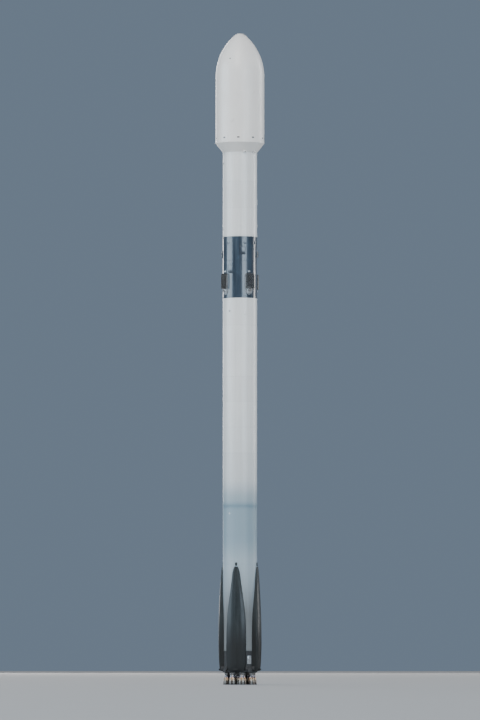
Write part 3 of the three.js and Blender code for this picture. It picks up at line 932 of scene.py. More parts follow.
    def soften(self, offset: float, steps: int = 2, over: float = 40.0) -> Mold:
        """Rounds every sharp edge.

        Args:
            offset: How far the rounding reaches. Nothing is rounded at 0.
            steps: How many steps it has.
            over: The angle in degrees over which an edge counts as sharp.

        Returns:
            The mold.
        """
        if offset > 0:
            sharp = math.radians(over)
            self.bevel([e for e in self.bm.edges if e.calc_face_angle(0.0) > sharp], offset, steps)
        return self

    def cut(self, point: Triple, normal: Triple, drop: bool = False) -> list[object]:
        """Cuts the whole mold by a plane.

        Args:
            point: A point on the plane.
            normal: The way that it faces.
            drop: Whether what lies on the far side, which the normal points to, is taken away.

        Returns:
            The new edges and vertices along the cut.
        """
        geometry = [*self.bm.verts, *self.bm.edges, *self.bm.faces]
        made = bmesh.ops.bisect_plane(
            self.bm, geom=geometry, dist=MERGE, plane_co=point, plane_no=normal, clear_outer=drop
        )
        return made["geom_cut"]

    def keep(self, faces: Iterable[bmesh.types.BMFace]) -> Mold:
        """Takes away every face but some.

        Args:
            faces: The faces that stay.

        Returns:
            The mold.
        """
        kept = set(faces)
        bmesh.ops.delete(self.bm, geom=[f for f in self.bm.faces if f not in kept], context="FACES")
        return self

    def thicken(self, depth: float) -> Mold:
        """Makes a flat mold a plate along Z, with its middle where the flat was.

        Args:
            depth: The plate's thickness.

        Returns:
            The mold.
        """
        made = bmesh.ops.extrude_face_region(self.bm, geom=list(self.bm.faces))
        top = [v for v in made["geom"] if isinstance(v, bmesh.types.BMVert)]
        bmesh.ops.translate(self.bm, vec=(0.0, 0.0, depth), verts=top)
        bmesh.ops.recalc_face_normals(self.bm, faces=self.bm.faces)
        return self.place(moved(0.0, 0.0, -depth / 2))

    def wrap(self, radius: float) -> Mold:
        """Bends a flat mold about Z, so that x goes out from a radius and y runs round it.

        Args:
            radius: The radius.

        Returns:
            The mold.
        """
        for vert in self.bm.verts:
            out, along, height = vert.co
            angle = along / radius
            vert.co = ((radius + out) * math.cos(angle), (radius + out) * math.sin(angle), height)
        return self

    def place(self, matrix: Matrix) -> Mold:
        """Moves the whole mold."""
        bmesh.ops.transform(self.bm, matrix=matrix, verts=self.bm.verts, space=HERE)
        return self

    def stamp(self, other: Mold, places: Iterable[Matrix] = (HERE,)) -> Mold:
        """Adds copies of another mold.

        Args:
            other: The mold to copy.
            places: Where the copies go.

        Returns:
            The mold.
        """
        source = bpy.data.meshes.new("stamp")
        other.bm.to_mesh(source)
        for matrix in places:
            copy = source.copy()
            copy.transform(matrix)
            self.bm.from_mesh(copy)
            bpy.data.meshes.remove(copy)
        bpy.data.meshes.remove(source)
        return self

    def cast(self, name: str, finish: Finish, sharp: float = SHARP) -> bpy.types.Object:
        """Makes the mold an object in its finish, with its faces pointing out.

        Args:
            name: The piece's name.
            finish: Its finish.
            sharp: Edges over this angle, in degrees, stay sharp.

        Returns:
            The object.
        """
        bmesh.ops.dissolve_degenerate(self.bm, dist=MERGE, edges=self.bm.edges)
        bmesh.ops.recalc_face_normals(self.bm, faces=self.bm.faces)
        mesh = bpy.data.meshes.new(name)
        self.bm.to_mesh(mesh)
        self.bm.free()
        mesh.shade_smooth()
        mesh.set_sharp_from_angle(angle=math.radians(sharp))
        mesh.materials.append(finish.coat())
        obj = bpy.data.objects.new(name, mesh)
        bpy.context.scene.collection.objects.link(obj)
        LOG.info("%s: %d faces in %s", name, len(mesh.polygons), finish.name)
        return obj

    def publish(
        self, name: str, finish: Finish, replaces: Sequence[str] = (), body: str = AIRFRAME
    ) -> None:
        """Makes the mold a piece of the scene.

        Args:
            name: The piece's name.
            finish: Its finish.
            replaces: The frame's nodes that it stands for.
            body: The body that it rides on.
        """
        obj = self.cast(name, finish)
        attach(obj, body)
        if replaces:
            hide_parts(*replaces)


def louvred(plate: Mold, blade: Mold, count: int, high: float) -> Mold:
    """A plate with a row of blades across it, which share out a height."""
    return plate.stamp(blade, [moved(0.0, 0.0, rise) for rise in spread(count, high)])


@dataclass(frozen=True)
class Box:
    """Where a node of the frame lies at rest."""

    low: Vector
    high: Vector

    @classmethod
    def of(cls, node: str) -> Box:
        """The box of a node."""
        return cls(*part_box(node))


@dataclass(frozen=True)
class Airframe:
    """The levels and radii that the pieces share, read from the frame, and where the hinges are.

    The fins' root counts from the interstage's foot, the fairing's rim from the forward ring's foot and the
    fairing's pins from that ring's top.
    """

    core: float
    shell: float
    skirt_low: float
    skirt_high: float
    stage_low: float
    stage_high: float
    ring_low: float
    ring_high: float
    nose: float
    fin_root: float = 0.4
    rim_rise: float = 0.048
    pin_rise: float = 0.0335
    hinge_y: float = 0.975
    hinge_x: Span = (-0.3, 0.3)

    @classmethod
    def read(cls) -> Airframe:
        """Reads them from the nodes' boxes.

        Returns:
            The levels and radii.
        """
        skirt, interstage, shell = Box.of("engine_skirt"), Box.of("interstage"), Box.of("fairing_half_1")
        return cls(
            core=Box.of("fuel_tank").high.x,
            shell=shell.high.x,
            skirt_low=skirt.low.z,
            skirt_high=skirt.high.z,
            stage_low=interstage.low.z,
            stage_high=interstage.high.z,
            ring_low=Box.of("second_stage_tank").high.z,
            ring_high=Box.of("payload_adapter").low.z,
            nose=shell.high.z,
        )


@dataclass
class TankSection:
    """One painted tank: barrels with weld bands, and a bolted flange at each end."""

    node: str
    finish: PaintedSkin
    weld_pitch: float = 1.45
    weld_half: float = 0.022
    weld_proud: float = 0.0035
    edge: float = 0.003
    lip: float = 0.012
    groove: float = 0.006
    flange: float = 0.09
    flange_proud: float = 0.005
    bolt_count: int = 90
    bolt_size: float = 0.0085
    segments: int = 192

    def build(self) -> None:
        """Shapes the tank and publishes it, with a whole number of barrels between its flanges."""
        box = Box.of(self.node)
        radius, low, high = box.high.x, box.low.z, box.high.z
        proud, inner = radius + self.flange_proud, radius - self.groove
        inside = high - low - 2 * self.flange
        count = max(1, round(inside / self.weld_pitch))
        pitch = inside / count
        welds = []
        for i in range(1, count):
            height = low + self.flange + pitch * i
            welds += band(radius, height, self.weld_proud, self.weld_half, self.edge)
        end = [(0.0, 0.0), (inner, 0.0), (inner, self.lip), (proud, self.lip)]
        end += [(proud, self.flange - self.edge), (radius, self.flange)]
        mold = Mold().revolve(both_ends(end, low, high, welds), self.segments)
        for height in (low + self.flange / 2, high - self.flange / 2):
            mold.bolt_ring(self.bolt_size, proud, height, self.bolt_count)
        start = low + self.flange
        finish = replace(self.finish, name=f"{self.node}_paint", barrel=pitch, barrel_start=start)
        mold.publish(f"{self.node}_skin", finish, [self.node])


@dataclass
class Interstage:
    """The black tube between the stages, with seams, doors and the fin shafts' collars.

    The heights of its doors and vents count from its foot, the latches' from the fins' shafts and the
    joint's from its middle.
    """

    frame: Airframe
    wall: float = 0.03
    lip: float = 0.006
    flange: float = 0.11
    joint_rise: float = 0.35
    seam_width: float = 0.05
    seam_proud: float = 0.004
    seam_rows: int = 32
    collar_inner: float = 0.186
    collar_outer: float = 0.226
    collar_proud: float = 0.010
    latch_height: float = 1.02
    vent_height: float = 2.95
    segments: int = 192
    vent_azimuths: tuple[int, ...] = (15, 105, 195, 285, 75, 165, 255, 345)
    door_places: Places = ((24, 1.55), (204, 1.55), (66, 2.55), (246, 2.55), (157, 0.9), (337, 0.9))

    def build(self) -> None:
        """Shapes the tube and what is fixed to it."""
        self.tube()
        self.collars()
        self.doors()
        self.latches()

    def tube(self) -> None:
        """The tube, its seam straps and the bolts of its flanges."""
        low, high, radius = self.frame.stage_low, self.frame.stage_high, self.frame.core
        inner, proud, lip = radius - self.wall, radius + self.lip, self.lip
        end = [(inner, 0.0), (radius - lip, 0.0), (radius - lip, 2 * lip), (proud, 2 * lip)]
        end += [(proud, self.flange), (radius, self.flange + lip)]
        joint = band(radius, (low + high) / 2 + self.joint_rise, -0.005, 0.006, 0.006)
        mold = Mold().revolve(both_ends(end, low, high, joint), self.segments, loop=True)
        tall = high - low - 2 * self.flange - 0.06
        strap = Mold().slab(self.seam_width, tall, self.seam_proud, 0.01, 0.0015, 3).wrap(radius)
        lean, out = math.degrees(0.34 * self.seam_width / radius), radius + self.seam_proud
        rows = spread(self.seam_rows, tall)
        strap.bolts(0.0045, [at(side * lean, up, out) for up in rows for side in SIDES])
        mold.stamp(strap, [turn @ moved(0.0, 0.0, (low + high) / 2) for turn in around(4, 45)])
        for height in (low + self.flange / 2, high - self.flange / 2):
            mold.bolt_ring(0.009, proud, height, 72)
        mold.publish("interstage_shell", STAGE_BLACK, ["interstage"])

    def collars(self) -> None:
        """A raised collar with bolts round each fin's shaft."""
        inner, outer, proud = self.collar_inner, self.collar_outer, self.collar_proud
        profile = [(inner, -0.05), (inner, 0.004), (inner + 0.006, proud), (outer - 0.008, proud)]
        collar = Mold().revolve([*profile, (outer, 0.0), (outer, -0.05)], 64, loop=True)
        collar.studs((0.008, 0.006), 16, (inner + outer) / 2, proud, 11.25)
        height = self.frame.stage_low + self.frame.fin_root
        places = [turn @ moved(self.frame.core, 0.0, height) @ OUTWARDS for turn in around(4)]
        Mold().stamp(collar, places).publish("fin_shaft_collars", ALUMINIUM)

    def doors(self) -> None:
        """Access doors and vent covers, which follow the tube's curve."""
        radius, low = self.frame.core, self.frame.stage_low
        door = Mold().slab(0.34, 0.46, 0.005, 0.05, 0.002, 6)
        door.bolts(0.006, [moved(0.005, y, z) for y in (-0.15, 0.15) for z in (-0.21, 0.21)])
        cover = Mold().slab(0.16, 0.10, 0.008, 0.03, 0.003, 4)
        vent = louvred(cover, Mold().slab(0.11, 0.007, 0.015, 0.0, 0.002, 4), 4, 0.072)
        mold = Mold()
        mold.stamp(door.wrap(radius), [at(azimuth, low + height) for azimuth, height in self.door_places])
        level = low + self.vent_height
        mold.stamp(vent.wrap(radius), [at(azimuth, level) for azimuth in self.vent_azimuths])
        mold.publish("interstage_doors", STAGE_BLACK)

    def latches(self) -> None:
        """The catch above each folded fin."""
        radius = self.frame.core
        catch = Mold().block((0.05, 0.14, 0.09), moved(radius + 0.015, 0.0, 0.0), 0.012)
        catch.block((0.035, 0.05, 0.05), moved(radius + 0.05, 0.0, 0.0), 0.008)
        catch.bolts(0.009, [moved(radius + 0.04, y, 0.0) for y in (-0.05, 0.05)])
        height = self.frame.stage_low + self.frame.fin_root + self.latch_height
        places = [turn @ moved(0.0, 0.0, height) for turn in around(4)]
        Mold().stamp(catch, places).publish("fin_latches", ALUMINIUM)


@dataclass
class Fairing:
    """Two half shells with seam rails, ports, vents and the blankets inside.

    Each half is shaped at azimuth 0 to 180, and the second is turned to the far side.
    """

    frame: Airframe
    wall: float = 0.02
    gap: float = 0.0025
    boat_tail: float = 28.4
    barrel: float = 32.0
    cap: float = 0.45
    nose_steps: int = 40
    cap_steps: int = 12
    segments: int = 96
    rail: float = 0.0045
    rail_width: float = 0.055
    rail_azimuths: Span = (1.25, 178.75)
    rail_short: int = 6
    rail_bolts: int = 28
    rail_pitch: float = 0.13
    liner_depth: float = 0.002
    quilt_rows: int = 9
    quilt_columns: int = 11
    joints: tuple[float, ...] = (28.9, 30.45, 31.6, 32.28, 33.3)
    frame_heights: tuple[float, ...] = (28.45, 31.98, 32.6, 33.15, 33.6)
    frame_hat: Places = (
        (-0.035, 0.0), (-0.022, 0.012), (-0.016, 0.034), (0.016, 0.034), (0.022, 0.012), (0.035, 0.0)
    )
    vent_height: float = 28.65
    vent_azimuths: tuple[int, ...] = (18, 54, 90, 126, 162)
    jet_height: float = 32.9
    jet_azimuths: tuple[int, ...] = (31, 149)
    port_places: Places = ((38, 29.6), (142, 29.6), (90, 31.1))
    port_screws: int = 10

    def build(self) -> None:
        """Shapes both halves, part by part."""
        parts = (
            ("shell", self.shell, FAIRING_WHITE),
            ("rails", self.rails, FAIRING_WHITE),
            ("louvres", self.louvres, STAGE_BLACK),
            ("screws", self.screws, STEEL),
            ("liner", self.liner, LAMINATE),
            ("frames", self.frames, LAMINATE),
            ("blankets", self.blankets, BLANKET_CLOTH),
        )
        for number in (1, 2):
            body = f"fairing_half_{number}"
            for part, shape, finish in parts:
                mold = shape().place(turned(180 * (number - 1)))
                mold.publish(f"{body}_{part}", finish, [body] if part == "shell" else [], body)

    def arc(self) -> float:
        """The radius of the nose's curve, which meets the barrel and the cap smoothly."""
        rise, drop = self.frame.nose - self.barrel - self.cap, self.frame.shell - self.cap
        return (rise**2 / drop + self.cap + self.frame.shell) / 2

    def side(self, depth: float) -> Profile:
        """The shell's side from rim to tip.

        Args:
            depth: How far inside the outer face it lies.

        Returns:
            Points of radius and height.
        """
        shell, tip, cap = self.frame.shell, self.frame.nose - self.cap, self.cap - depth
        centre, reach = shell - self.arc(), self.arc() - depth
        sweep = math.atan2(tip - self.barrel, -centre)
        rim = self.frame.ring_low + self.frame.rim_rise
        points = [(self.frame.core - depth, rim), (shell - depth, self.boat_tail)]
        for i in range(self.nose_steps):
            angle = sweep * i / self.nose_steps
            points.append((centre + reach * math.cos(angle), self.barrel + reach * math.sin(angle)))
        for i in range(self.cap_steps + 1):
            angle = sweep + (math.pi / 2 - sweep) * i / self.cap_steps
            points.append((max(0.0, cap * math.cos(angle)), tip + cap * math.sin(angle)))
        return points

    def jointed_side(self) -> Profile:
        """The outer side, with a shallow groove at each joint of the shell.

        Returns:
            Points of radius and height.
        """
        points = self.side(0.0)
        made = points[:1]
        for (r0, z0), (r1, z1) in zip(points, points[1:]):
            for height in self.joints:
                if z0 + 0.02 < height < z1 - 0.02:
                    radius = r0 + (r1 - r0) * (height - z0) / (z1 - z0)
                    made += band(radius, height, -0.004, 0.005, 0.004)
            made.append((r1, z1))
        return made

    def half(self, section: Profile) -> Mold:
        """Turns a closed section through a half turn and trims it to its side of the seam.

        Args:
            section: Points of radius and height.

        Returns:
            The half turn's mold.
        """
        mold = Mold().revolve(section, self.segments, loop=True, sweep=math.pi)
        cut = mold.cut((0.0, self.gap, 0.0), (0.0, -1.0, 0.0), drop=True)
        bmesh.ops.edgeloop_fill(mold.bm, edges=[e for e in cut if isinstance(e, bmesh.types.BMEdge)])
        return mold

    def shell(self) -> Mold:
        """The shell with its round ports, the frames of its vents and its hinge arms.

        Returns:
            The mold.
        """
        mold = self.half([*self.jointed_side(), *reversed(self.side(self.wall))])
        radius = self.frame.shell
        port = Mold().revolve([(0.0, 0.0), (0.13, 0.0), (0.13, 0.004), (0.124, 0.006), (0.0, 0.006)], 40)
        port.place(OUTWARDS).wrap(radius)
        mold.stamp(port, [at(azimuth, height) for azimuth, height in self.port_places])
        frame = Mold().slab(0.17, 0.10, 0.006, 0.025, 0.002, 4).wrap(radius)
        mold.stamp(frame, [at(azimuth, self.vent_height) for azimuth in self.vent_azimuths])
        pin = self.frame.ring_high + self.frame.pin_rise
        for x in self.frame.hinge_x:
            mold.block((0.07, 0.135, 0.052), moved(x, 0.9075, pin), 0.006)
            mold.rod(0.026, 0.07, moved(x - 0.035, self.frame.hinge_y, pin) @ OUTWARDS)
        return mold

    def rails(self) -> Mold:
        """The raised rails along the seam, which stop short of the tip, with their fasteners.

        Returns:
            The mold.
        """
        outer, shell = self.side(0.0)[: -self.rail_short], self.frame.shell
        section = [*outer, *reversed([(radius + self.rail, height) for radius, height in outer])]
        width, gap = self.rail_width / shell, self.gap / shell
        mold = Mold()
        for start in (gap, math.pi - width):
            mold.revolve(section, 3, loop=True, start=start, sweep=width - gap)
        heights = [self.boat_tail + 0.06 + self.rail_pitch * i for i in range(self.rail_bolts)]
        ends, out = self.rail_azimuths, shell + self.rail
        return mold.bolts(0.006, [at(azimuth, height, out) for azimuth in ends for height in heights])

    def louvres(self) -> Mold:
        """The dark louvres of the vents, and the small jets near the nose.

        Returns:
            The mold.
        """
        plate = Mold().slab(0.125, 0.066, 0.008, 0.01, 0.001, 4)
        vent = louvred(plate, Mold().slab(0.117, 0.006, 0.014, 0.0, 0.002, 4), 5, 0.065)
        places = [at(azimuth, self.vent_height) for azimuth in self.vent_azimuths]
        mold = Mold().stamp(vent.wrap(self.frame.shell), places)
        flare = [(0.0, 0.001), (0.012, 0.001), (0.024, 0.004), (0.032, 0.006), (0.036, 0.0), (0.0, -0.02)]
        lean = math.asin((self.jet_height - self.barrel) / self.arc())
        out = self.frame.shell - self.arc() * (1.0 - math.cos(lean))
        aim = Matrix.Rotation(math.pi / 2 - lean, 4, "Y")
        jets = [at(azimuth, self.jet_height, out) @ aim for azimuth in self.jet_azimuths]
        return mold.stamp(Mold().revolve(flare, 24), jets)

    def screws(self) -> Mold:
        """The ring of screws round each port.

        Returns:
            The mold.
        """
        radius, ring = self.frame.shell, 0.112
        places = []
        for azimuth, height in self.port_places:
            for i in range(self.port_screws):
                spin = TURN * i / self.port_screws
                angle = azimuth + math.degrees(ring * math.cos(spin) / radius)
                places.append(at(angle, height + ring * math.sin(spin), radius + 0.006))
        return Mold().bolts(0.005, places)

    def liner(self) -> Mold:
        """The bare laminate inside the nose.

        Returns:
            The mold.
        """
        depths = (self.wall, self.wall + self.liner_depth)
        inner, proud = ([point for point in self.side(depth) if point[1] > self.barrel] for depth in depths)
        return self.half([*inner, *reversed(proud)])

    def frames(self) -> Mold:
        """The ring frames that stiffen the half.

        Returns:
            The mold.
        """
        mold = Mold()
        arc, radius = self.arc() - self.wall, self.frame.shell - self.wall
        for height in self.frame_heights:
            lean = math.asin(max(0.0, height - self.barrel) / arc)
            reach, slope = radius - arc * (1.0 - math.cos(lean)), math.tan(lean)
            mold.stamp(self.half([(reach - up * slope - deep, height + up) for up, deep in self.frame_hat]))
        return mold

    def blankets(self) -> Mold:
        """The quilted blankets inside the barrel.

        Returns:
            The mold.
        """
        radius = self.frame.shell - self.wall
        low, high = self.boat_tail + 0.1, self.barrel - 0.07
        tall = (high - low) / self.quilt_rows
        wide = math.pi * radius / (self.quilt_columns + 0.6)
        tile = Mold().slab(wide - 0.02, tall - 0.02, 0.016, 0.02, 0.0, 3).soften(0.007, 2)
        tile.place(Matrix.Diagonal((-1.0, 1.0, 1.0, 1.0))).wrap(radius - 0.002)
        azimuths = [math.degrees(wide * (column + 0.8) / radius) for column in range(self.quilt_columns)]
        heights = [low + tall * (row + 0.5) for row in range(self.quilt_rows)]
        return Mold().stamp(tile, [at(azimuth, height) for height in heights for azimuth in azimuths])


@dataclass
class SecondStageTop:
    """The forward ring with its hinge clevises, and the payload adapter."""

    frame: Airframe
    edge: float = 0.004
    adapter_top: float = 0.42
    adapter_wall: float = 0.014
    adapter_ring: float = 0.025
    stringers: int = 36
    segments: int = 192

    def build(self) -> None:
        """Shapes the ring and the adapter."""
        self.ring()
        self.adapter()

    def ring(self) -> None:
        """The ring with its clevises, and the hinges' pins."""
        low, high, radius = self.frame.ring_low + 0.002, self.frame.ring_high - 0.0005, self.frame.core
        proud, inner = radius + self.edge, radius - 0.005
        points = [(0.0, low), (inner, low), (inner, low + 0.006), (proud, low + 0.008)]
        points += [(proud, high - self.edge), (radius, high), (0.0, high)]
        mold = Mold().revolve(points, self.segments)
        mold.bolt_ring(0.007, proud, (low + high) / 2, 72)
        pins = Mold()
        pin, foot = self.frame.ring_high + self.frame.pin_rise, high - 0.036
        for side in SIDES:
            hinge = side * self.frame.hinge_y
            for x in self.frame.hinge_x:
                for centre in (x - 0.055, x + 0.055):
                    mold.block((0.028, 0.17, 0.034), moved(centre, side * 0.916, high - 0.02), 0.003)
                    mold.block((0.026, 0.050, pin - foot), moved(centre, hinge, (foot + pin) / 2), 0.003)
                    mold.rod(0.026, 0.028, moved(centre - 0.014, hinge, pin) @ OUTWARDS)
                pins.rod(0.012, 0.16, moved(x - 0.08, hinge, pin) @ OUTWARDS, 16, 0.002)
        mold.publish("forward_ring_skin", UPPER_WHITE, ["forward_ring"])
        pins.publish("hinge_pins", STEEL)

    def adapter(self) -> None:
        """The payload adapter's cone with its stringers, rings and bolts."""
        box = Box.of("payload_adapter")
        low, high, wide, narrow = box.low.z, box.high.z, box.high.x, self.adapter_top
        ring, neck = high - self.adapter_ring, narrow - 0.04
        points = [(wide - self.adapter_wall, low), (wide, low), (wide, low + 0.02)]
        points += [(wide - 0.02, low + 0.03), (narrow + 0.004, ring - 0.01), (narrow + 0.004, ring)]
        points += [(narrow, high - 0.004), (narrow - 0.003, high), (neck, high), (neck, ring)]
        mold = Mold().revolve(points, 128, loop=True)
        rise, run = high - low, wide - narrow
        lean = Matrix.Rotation(-math.atan2(run, rise), 4, "Y")
        centre = moved((wide + narrow) / 2 + 0.002, 0.0, (low + high) / 2)
        for turn in around(self.stringers):
            mold.block((0.014, 0.01, math.hypot(run, rise) - 0.09), turn @ centre @ lean, 0.002, 1)
        mold.studs((0.007, 0.007), 48, narrow - 0.02, high, 3)
        mold.publish("payload_adapter_cone", ALUMINIUM, ["payload_adapter"])


@dataclass
class EngineSection:
    """The skirt with its hold-down fittings and leg brackets, the thrust ring and the base heat shield.

    The heights of its panel grooves count from the skirt's foot.
    """

    frame: Airframe
    wall: float = 0.05
    panel_grooves: tuple[float, ...] = (0.067, 0.407, 0.747)
    ring_radius: float = 0.685
    ring_tall: float = 0.06
    hole: float = 0.185
    shield_low: float = 0.03
    shield_high: float = 0.056
    rim: Places = (
        (0.187, 0.031), (0.187, 0.022), (0.192, 0.018), (0.212, 0.018), (0.217, 0.024), (0.217, 0.031)
    )
    segments: int = 192

    def engine_places(self) -> list[Span]:
        """The engines' axes, the middle one first.

        Returns:
            Pairs of x and y.
        """
        radius, angles = self.ring_radius, [math.radians(22.5 + 45 * i) for i in range(8)]
        return [(0.0, 0.0), *((radius * math.cos(angle), radius * math.sin(angle)) for angle in angles)]

    def build(self) -> None:
        """Shapes the section."""
        self.skirt()
        self.thrust_ring()
        self.fittings()
        self.shield()

    def skirt(self) -> None:
        """The skirt's tube with its panels."""
        low, high, radius = self.frame.skirt_low + 0.02, self.frame.skirt_high, self.frame.core
        inner, proud = radius - self.wall, radius + 0.006
        points = [(inner, low), (radius - 0.004, low), (proud, low + 0.01), (proud, low + 0.05)]
        for rise in self.panel_grooves:
            points += band(radius, low + rise, -0.005, 0.003, 0.004)
        mold = Mold().revolve([*points, (radius, high), (inner, high)], self.segments, loop=True)
        strap = Mold().slab(0.035, 0.9, 0.004, 0.0, 0.001, 2).wrap(radius)
        mold.stamp(strap, [turn @ moved(0.0, 0.0, 0.6) for turn in around(16, 11.25)])
        mold.bolt_ring(0.008, proud, low + 0.03, 96)
        mold.publish("engine_skirt_shell", INSULATION, ["engine_skirt"])

    def thrust_ring(self) -> None:
        """The ring between the skirt and the fuel tank."""
        high, radius = Box.of("thrust_plate").high.z, self.frame.core
        low, proud = high - self.ring_tall, radius + 0.007
        end = [(radius - 0.02, 0.0), (radius + 0.003, 0.0), (proud, 0.006)]
        mold = Mold().revolve(both_ends(end, low, high), self.segments, loop=True)
        mold.bolt_ring(0.009, proud, (low + high) / 2, 72)
        mold.publish("thrust_ring", INSULATION)

    def fittings(self) -> None:
        """The hold-down fittings and the legs' hinge brackets."""
        outline = [(0.87, 0.0), (1.01, 0.0), (1.01, 0.13), (self.frame.core, 0.30), (0.87, 0.30)]
        fitting = Mold().flat(outline).thicken(0.26).place(Matrix.Rotation(math.pi / 2, 4, "X"))
        fitting.soften(0.01, 3)
        fitting.block((0.03, 0.16, 0.08), moved(1.0, 0.0, 0.065), 0.012)
        fitting.rod(0.028, 0.31, moved(0.975, -0.155, 0.065) @ SIDEWAYS)
        fitting.bolts(0.014, [moved(1.008, y, z) for y in (-0.09, 0.09) for z in (0.04, 0.1)])
        bracket = Mold()
        for side in SIDES:
            bracket.block((0.205, 0.075, 0.19), moved(0.8025, side * 0.5425, 0.23), 0.015, 3)
        bracket.trunnions(0.052, (0.49, 0.6), LEG_HINGE, 32, 0.006)
        mold = Mold().stamp(fitting, around(4)).stamp(bracket, around(4, 45))
        mold.publish("skirt_fittings", INSULATION)

    def shield(self) -> None:
        """The base heat shield, let into the skirt's wall, with its holes, rims, strips and screws."""
        mold = Mold()
        engines = [moved(x, y, 0.0) for x, y in self.engine_places()]
        edge = (HERE, self.frame.core - self.wall + 0.008, 128)
        for place, radius, count in (edge, *((engine, self.hole, 48) for engine in engines)):
            bmesh.ops.create_circle(mold.bm, cap_ends=False, segments=count, radius=radius, matrix=place)
        bmesh.ops.triangle_fill(
            mold.bm, use_beauty=True, use_dissolve=False, edges=list(mold.bm.edges), normal=UP
        )
        mold.thicken(self.shield_high - self.shield_low)
        mold.place(moved(0.0, 0.0, (self.shield_low + self.shield_high) / 2))
        rim = Mold().revolve(list(self.rim), 48, loop=True).studs((0.006, 0.006), 16, 0.202, 0.013)
        mold.stamp(rim, engines)
        strip = Mold().block((0.40, 0.028, 0.008), moved(0.655, 0.0, 0.028), 0.002, 1)
        for i in range(7):
            strip.rod(0.005, 0.004, moved(0.475 + 0.06 * i, 0.0, 0.0205), 6)
        mold.stamp(strip, around(8))
        mold.publish("base_heat_shield_plate", INSULATION, ["base_heat_shield"])


@dataclass
class Engine:
    """One first-stage engine: bell, hoops, manifold, turbine exhaust and chamber, and its cloth boot.

    Its heights count from its gimbal's level, and its boot's levels run from the engine's collar, over the
    gimbal's cross, to the heat shield.
    """

    number: int
    x: float
    y: float
    wall: float = 0.009
    outline: Places = ((-0.65, 0.23), (-0.475, 0.2125), (-0.3, 0.18), (-0.14, 0.1325))
    bell_steps: int = 24
    hoops: tuple[float, ...] = (-0.22, -0.34, -0.46, -0.57)
    collar: float = 0.1675
    manifold: Span = (0.142, -0.128)
    manifold_pipe: float = 0.017
    segments: int = 72
    pleats: int = 4
    boot_radii: Span = (0.178, 0.160)
    boot_levels: Triple = (-0.048, -0.008, 0.032)
    boot_cloth: float = 0.003
    boot_sharp: float = 60.0

    def radius(self, height: float) -> float:
        """The bell's outer radius at a height."""
        return smooth_through(self.outline, height)

    def build(self) -> None:
        """Shapes the engine and its boot."""
        self.metalwork()
        self.boot()

    def metalwork(self) -> None:
        """The bell and what is fixed to it, turned so that its exhaust faces the ring's middle."""
        mold = self.bell()
        self.plumbing(mold)
        mold.studs((0.006, 0.005), 24, 0.157, -0.0555)
        mold.place(turned(math.degrees(math.atan2(-self.y, -self.x)) if self.number > 1 else 0.0))
        for side in SIDES:
            mold.block((0.06, 0.02, 0.17), moved(0.0, side * 0.055, 0.505), 0.004)
        layer = mold.bm.verts.layers.float_vector.new(FROM_AXIS)
        for vert in mold.bm.verts:
            vert[layer] = vert.co
        name = f"engine_{self.number}"
        mold.place(moved(self.x, self.y, 0.0)).publish(f"{name}_bell", NOZZLE, [name], name)

    def bell(self) -> Mold:
        """The bell with its throat and chamber, and the hoops, lip and manifold round it.

        Returns:
            The mold.
        """
        (low, _), (high, _) = self.outline[0], self.outline[-1]
        heights = [low + (high - low) * i / self.bell_steps for i in range(self.bell_steps + 1)]
        outer = [(self.radius(height), height) for height in heights]
        inner = [(radius - self.wall, height) for radius, height in reversed(outer)]
        neck = [(self.collar, -0.05), (self.collar, -0.03), (0.07, -0.03), (0.105, 0.08), (0.105, 0.35)]
        throat = [(0.0, 0.29), (0.085, 0.29), (0.085, 0.08), (0.052, 0.0), (0.054, -0.045), (0.088, -0.098)]
        mold = Mold().revolve([*throat, *inner, *outer, *neck, (0.06, 0.43), (0.0, 0.43)], self.segments)
        for height in self.hoops:
            hoop = band(self.radius(height) - 0.004, height, 0.010, 0.005, 0.003)
            mold.revolve(hoop, self.segments, loop=True)
        lip = [(0.2215, -0.6505), (0.236, -0.6505), (0.238, -0.645), (0.236, -0.634), (0.226, -0.632)]
        mold.revolve(lip, self.segments, loop=True)
        out, height = self.manifold
        thick, spins = self.manifold_pipe, [TURN * i / 10 for i in range(10)]
        ring = [(out + thick * math.cos(spin), height + thick * math.sin(spin)) for spin in spins]
        return mold.revolve(ring, self.segments, loop=True)

    def plumbing(self, mold: Mold) -> None:
        """The turbine's exhaust pipe down one side with its flared end, and the fuel feeds to the manifold.

        Args:
            mold: The engine that they are added to.
        """
        route = [(0.13, -0.075), (0.165, -0.088), (0.193, -0.115), (0.205, -0.16)]
        route += [(self.radius(height) + 0.030, height) for height in (-0.22, -0.28, -0.34, -0.40, -0.45)]
        mold.pipe(route, 0.0, 0.022, 16)
        out, height = route[-1]
        mold.pipe([(out, height), (out + 0.004, height - 0.03)], 0.0, 0.027, 16)
        feed = [(0.10, -0.055), (0.15, -0.066), (0.171, -0.09), (0.158, -0.122)]
        for azimuth in (120.0, 240.0):
            mold.pipe(feed, azimuth, 0.012, 10)

    def boot(self) -> None:
        """The pleated cloth from the heat shield to the engine, in two pieces that meet on the cross."""
        engine, cross = f"engine_{self.number}", f"gimbal_cross_{self.number}"
        low, middle, high = self.boot_levels
        halves = (("upper", high, middle, AIRFRAME, cross), ("lower", middle, low, cross, engine))
        steps = 2 * self.pleats
        for name, start, end, above, below in halves:
            points = [(self.boot_radii[i % 2], start + (end - start) * i / steps) for i in range(steps + 1)]
            back = [(radius - self.boot_cloth, height) for radius, height in reversed(points)]
            mold = Mold().revolve([*points, *back], 48, loop=True).place(moved(self.x, self.y, 0.0))
            obj = mold.cast(f"{engine}_boot_{name}", BOOT_CLOTH, self.boot_sharp)
            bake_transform(obj)


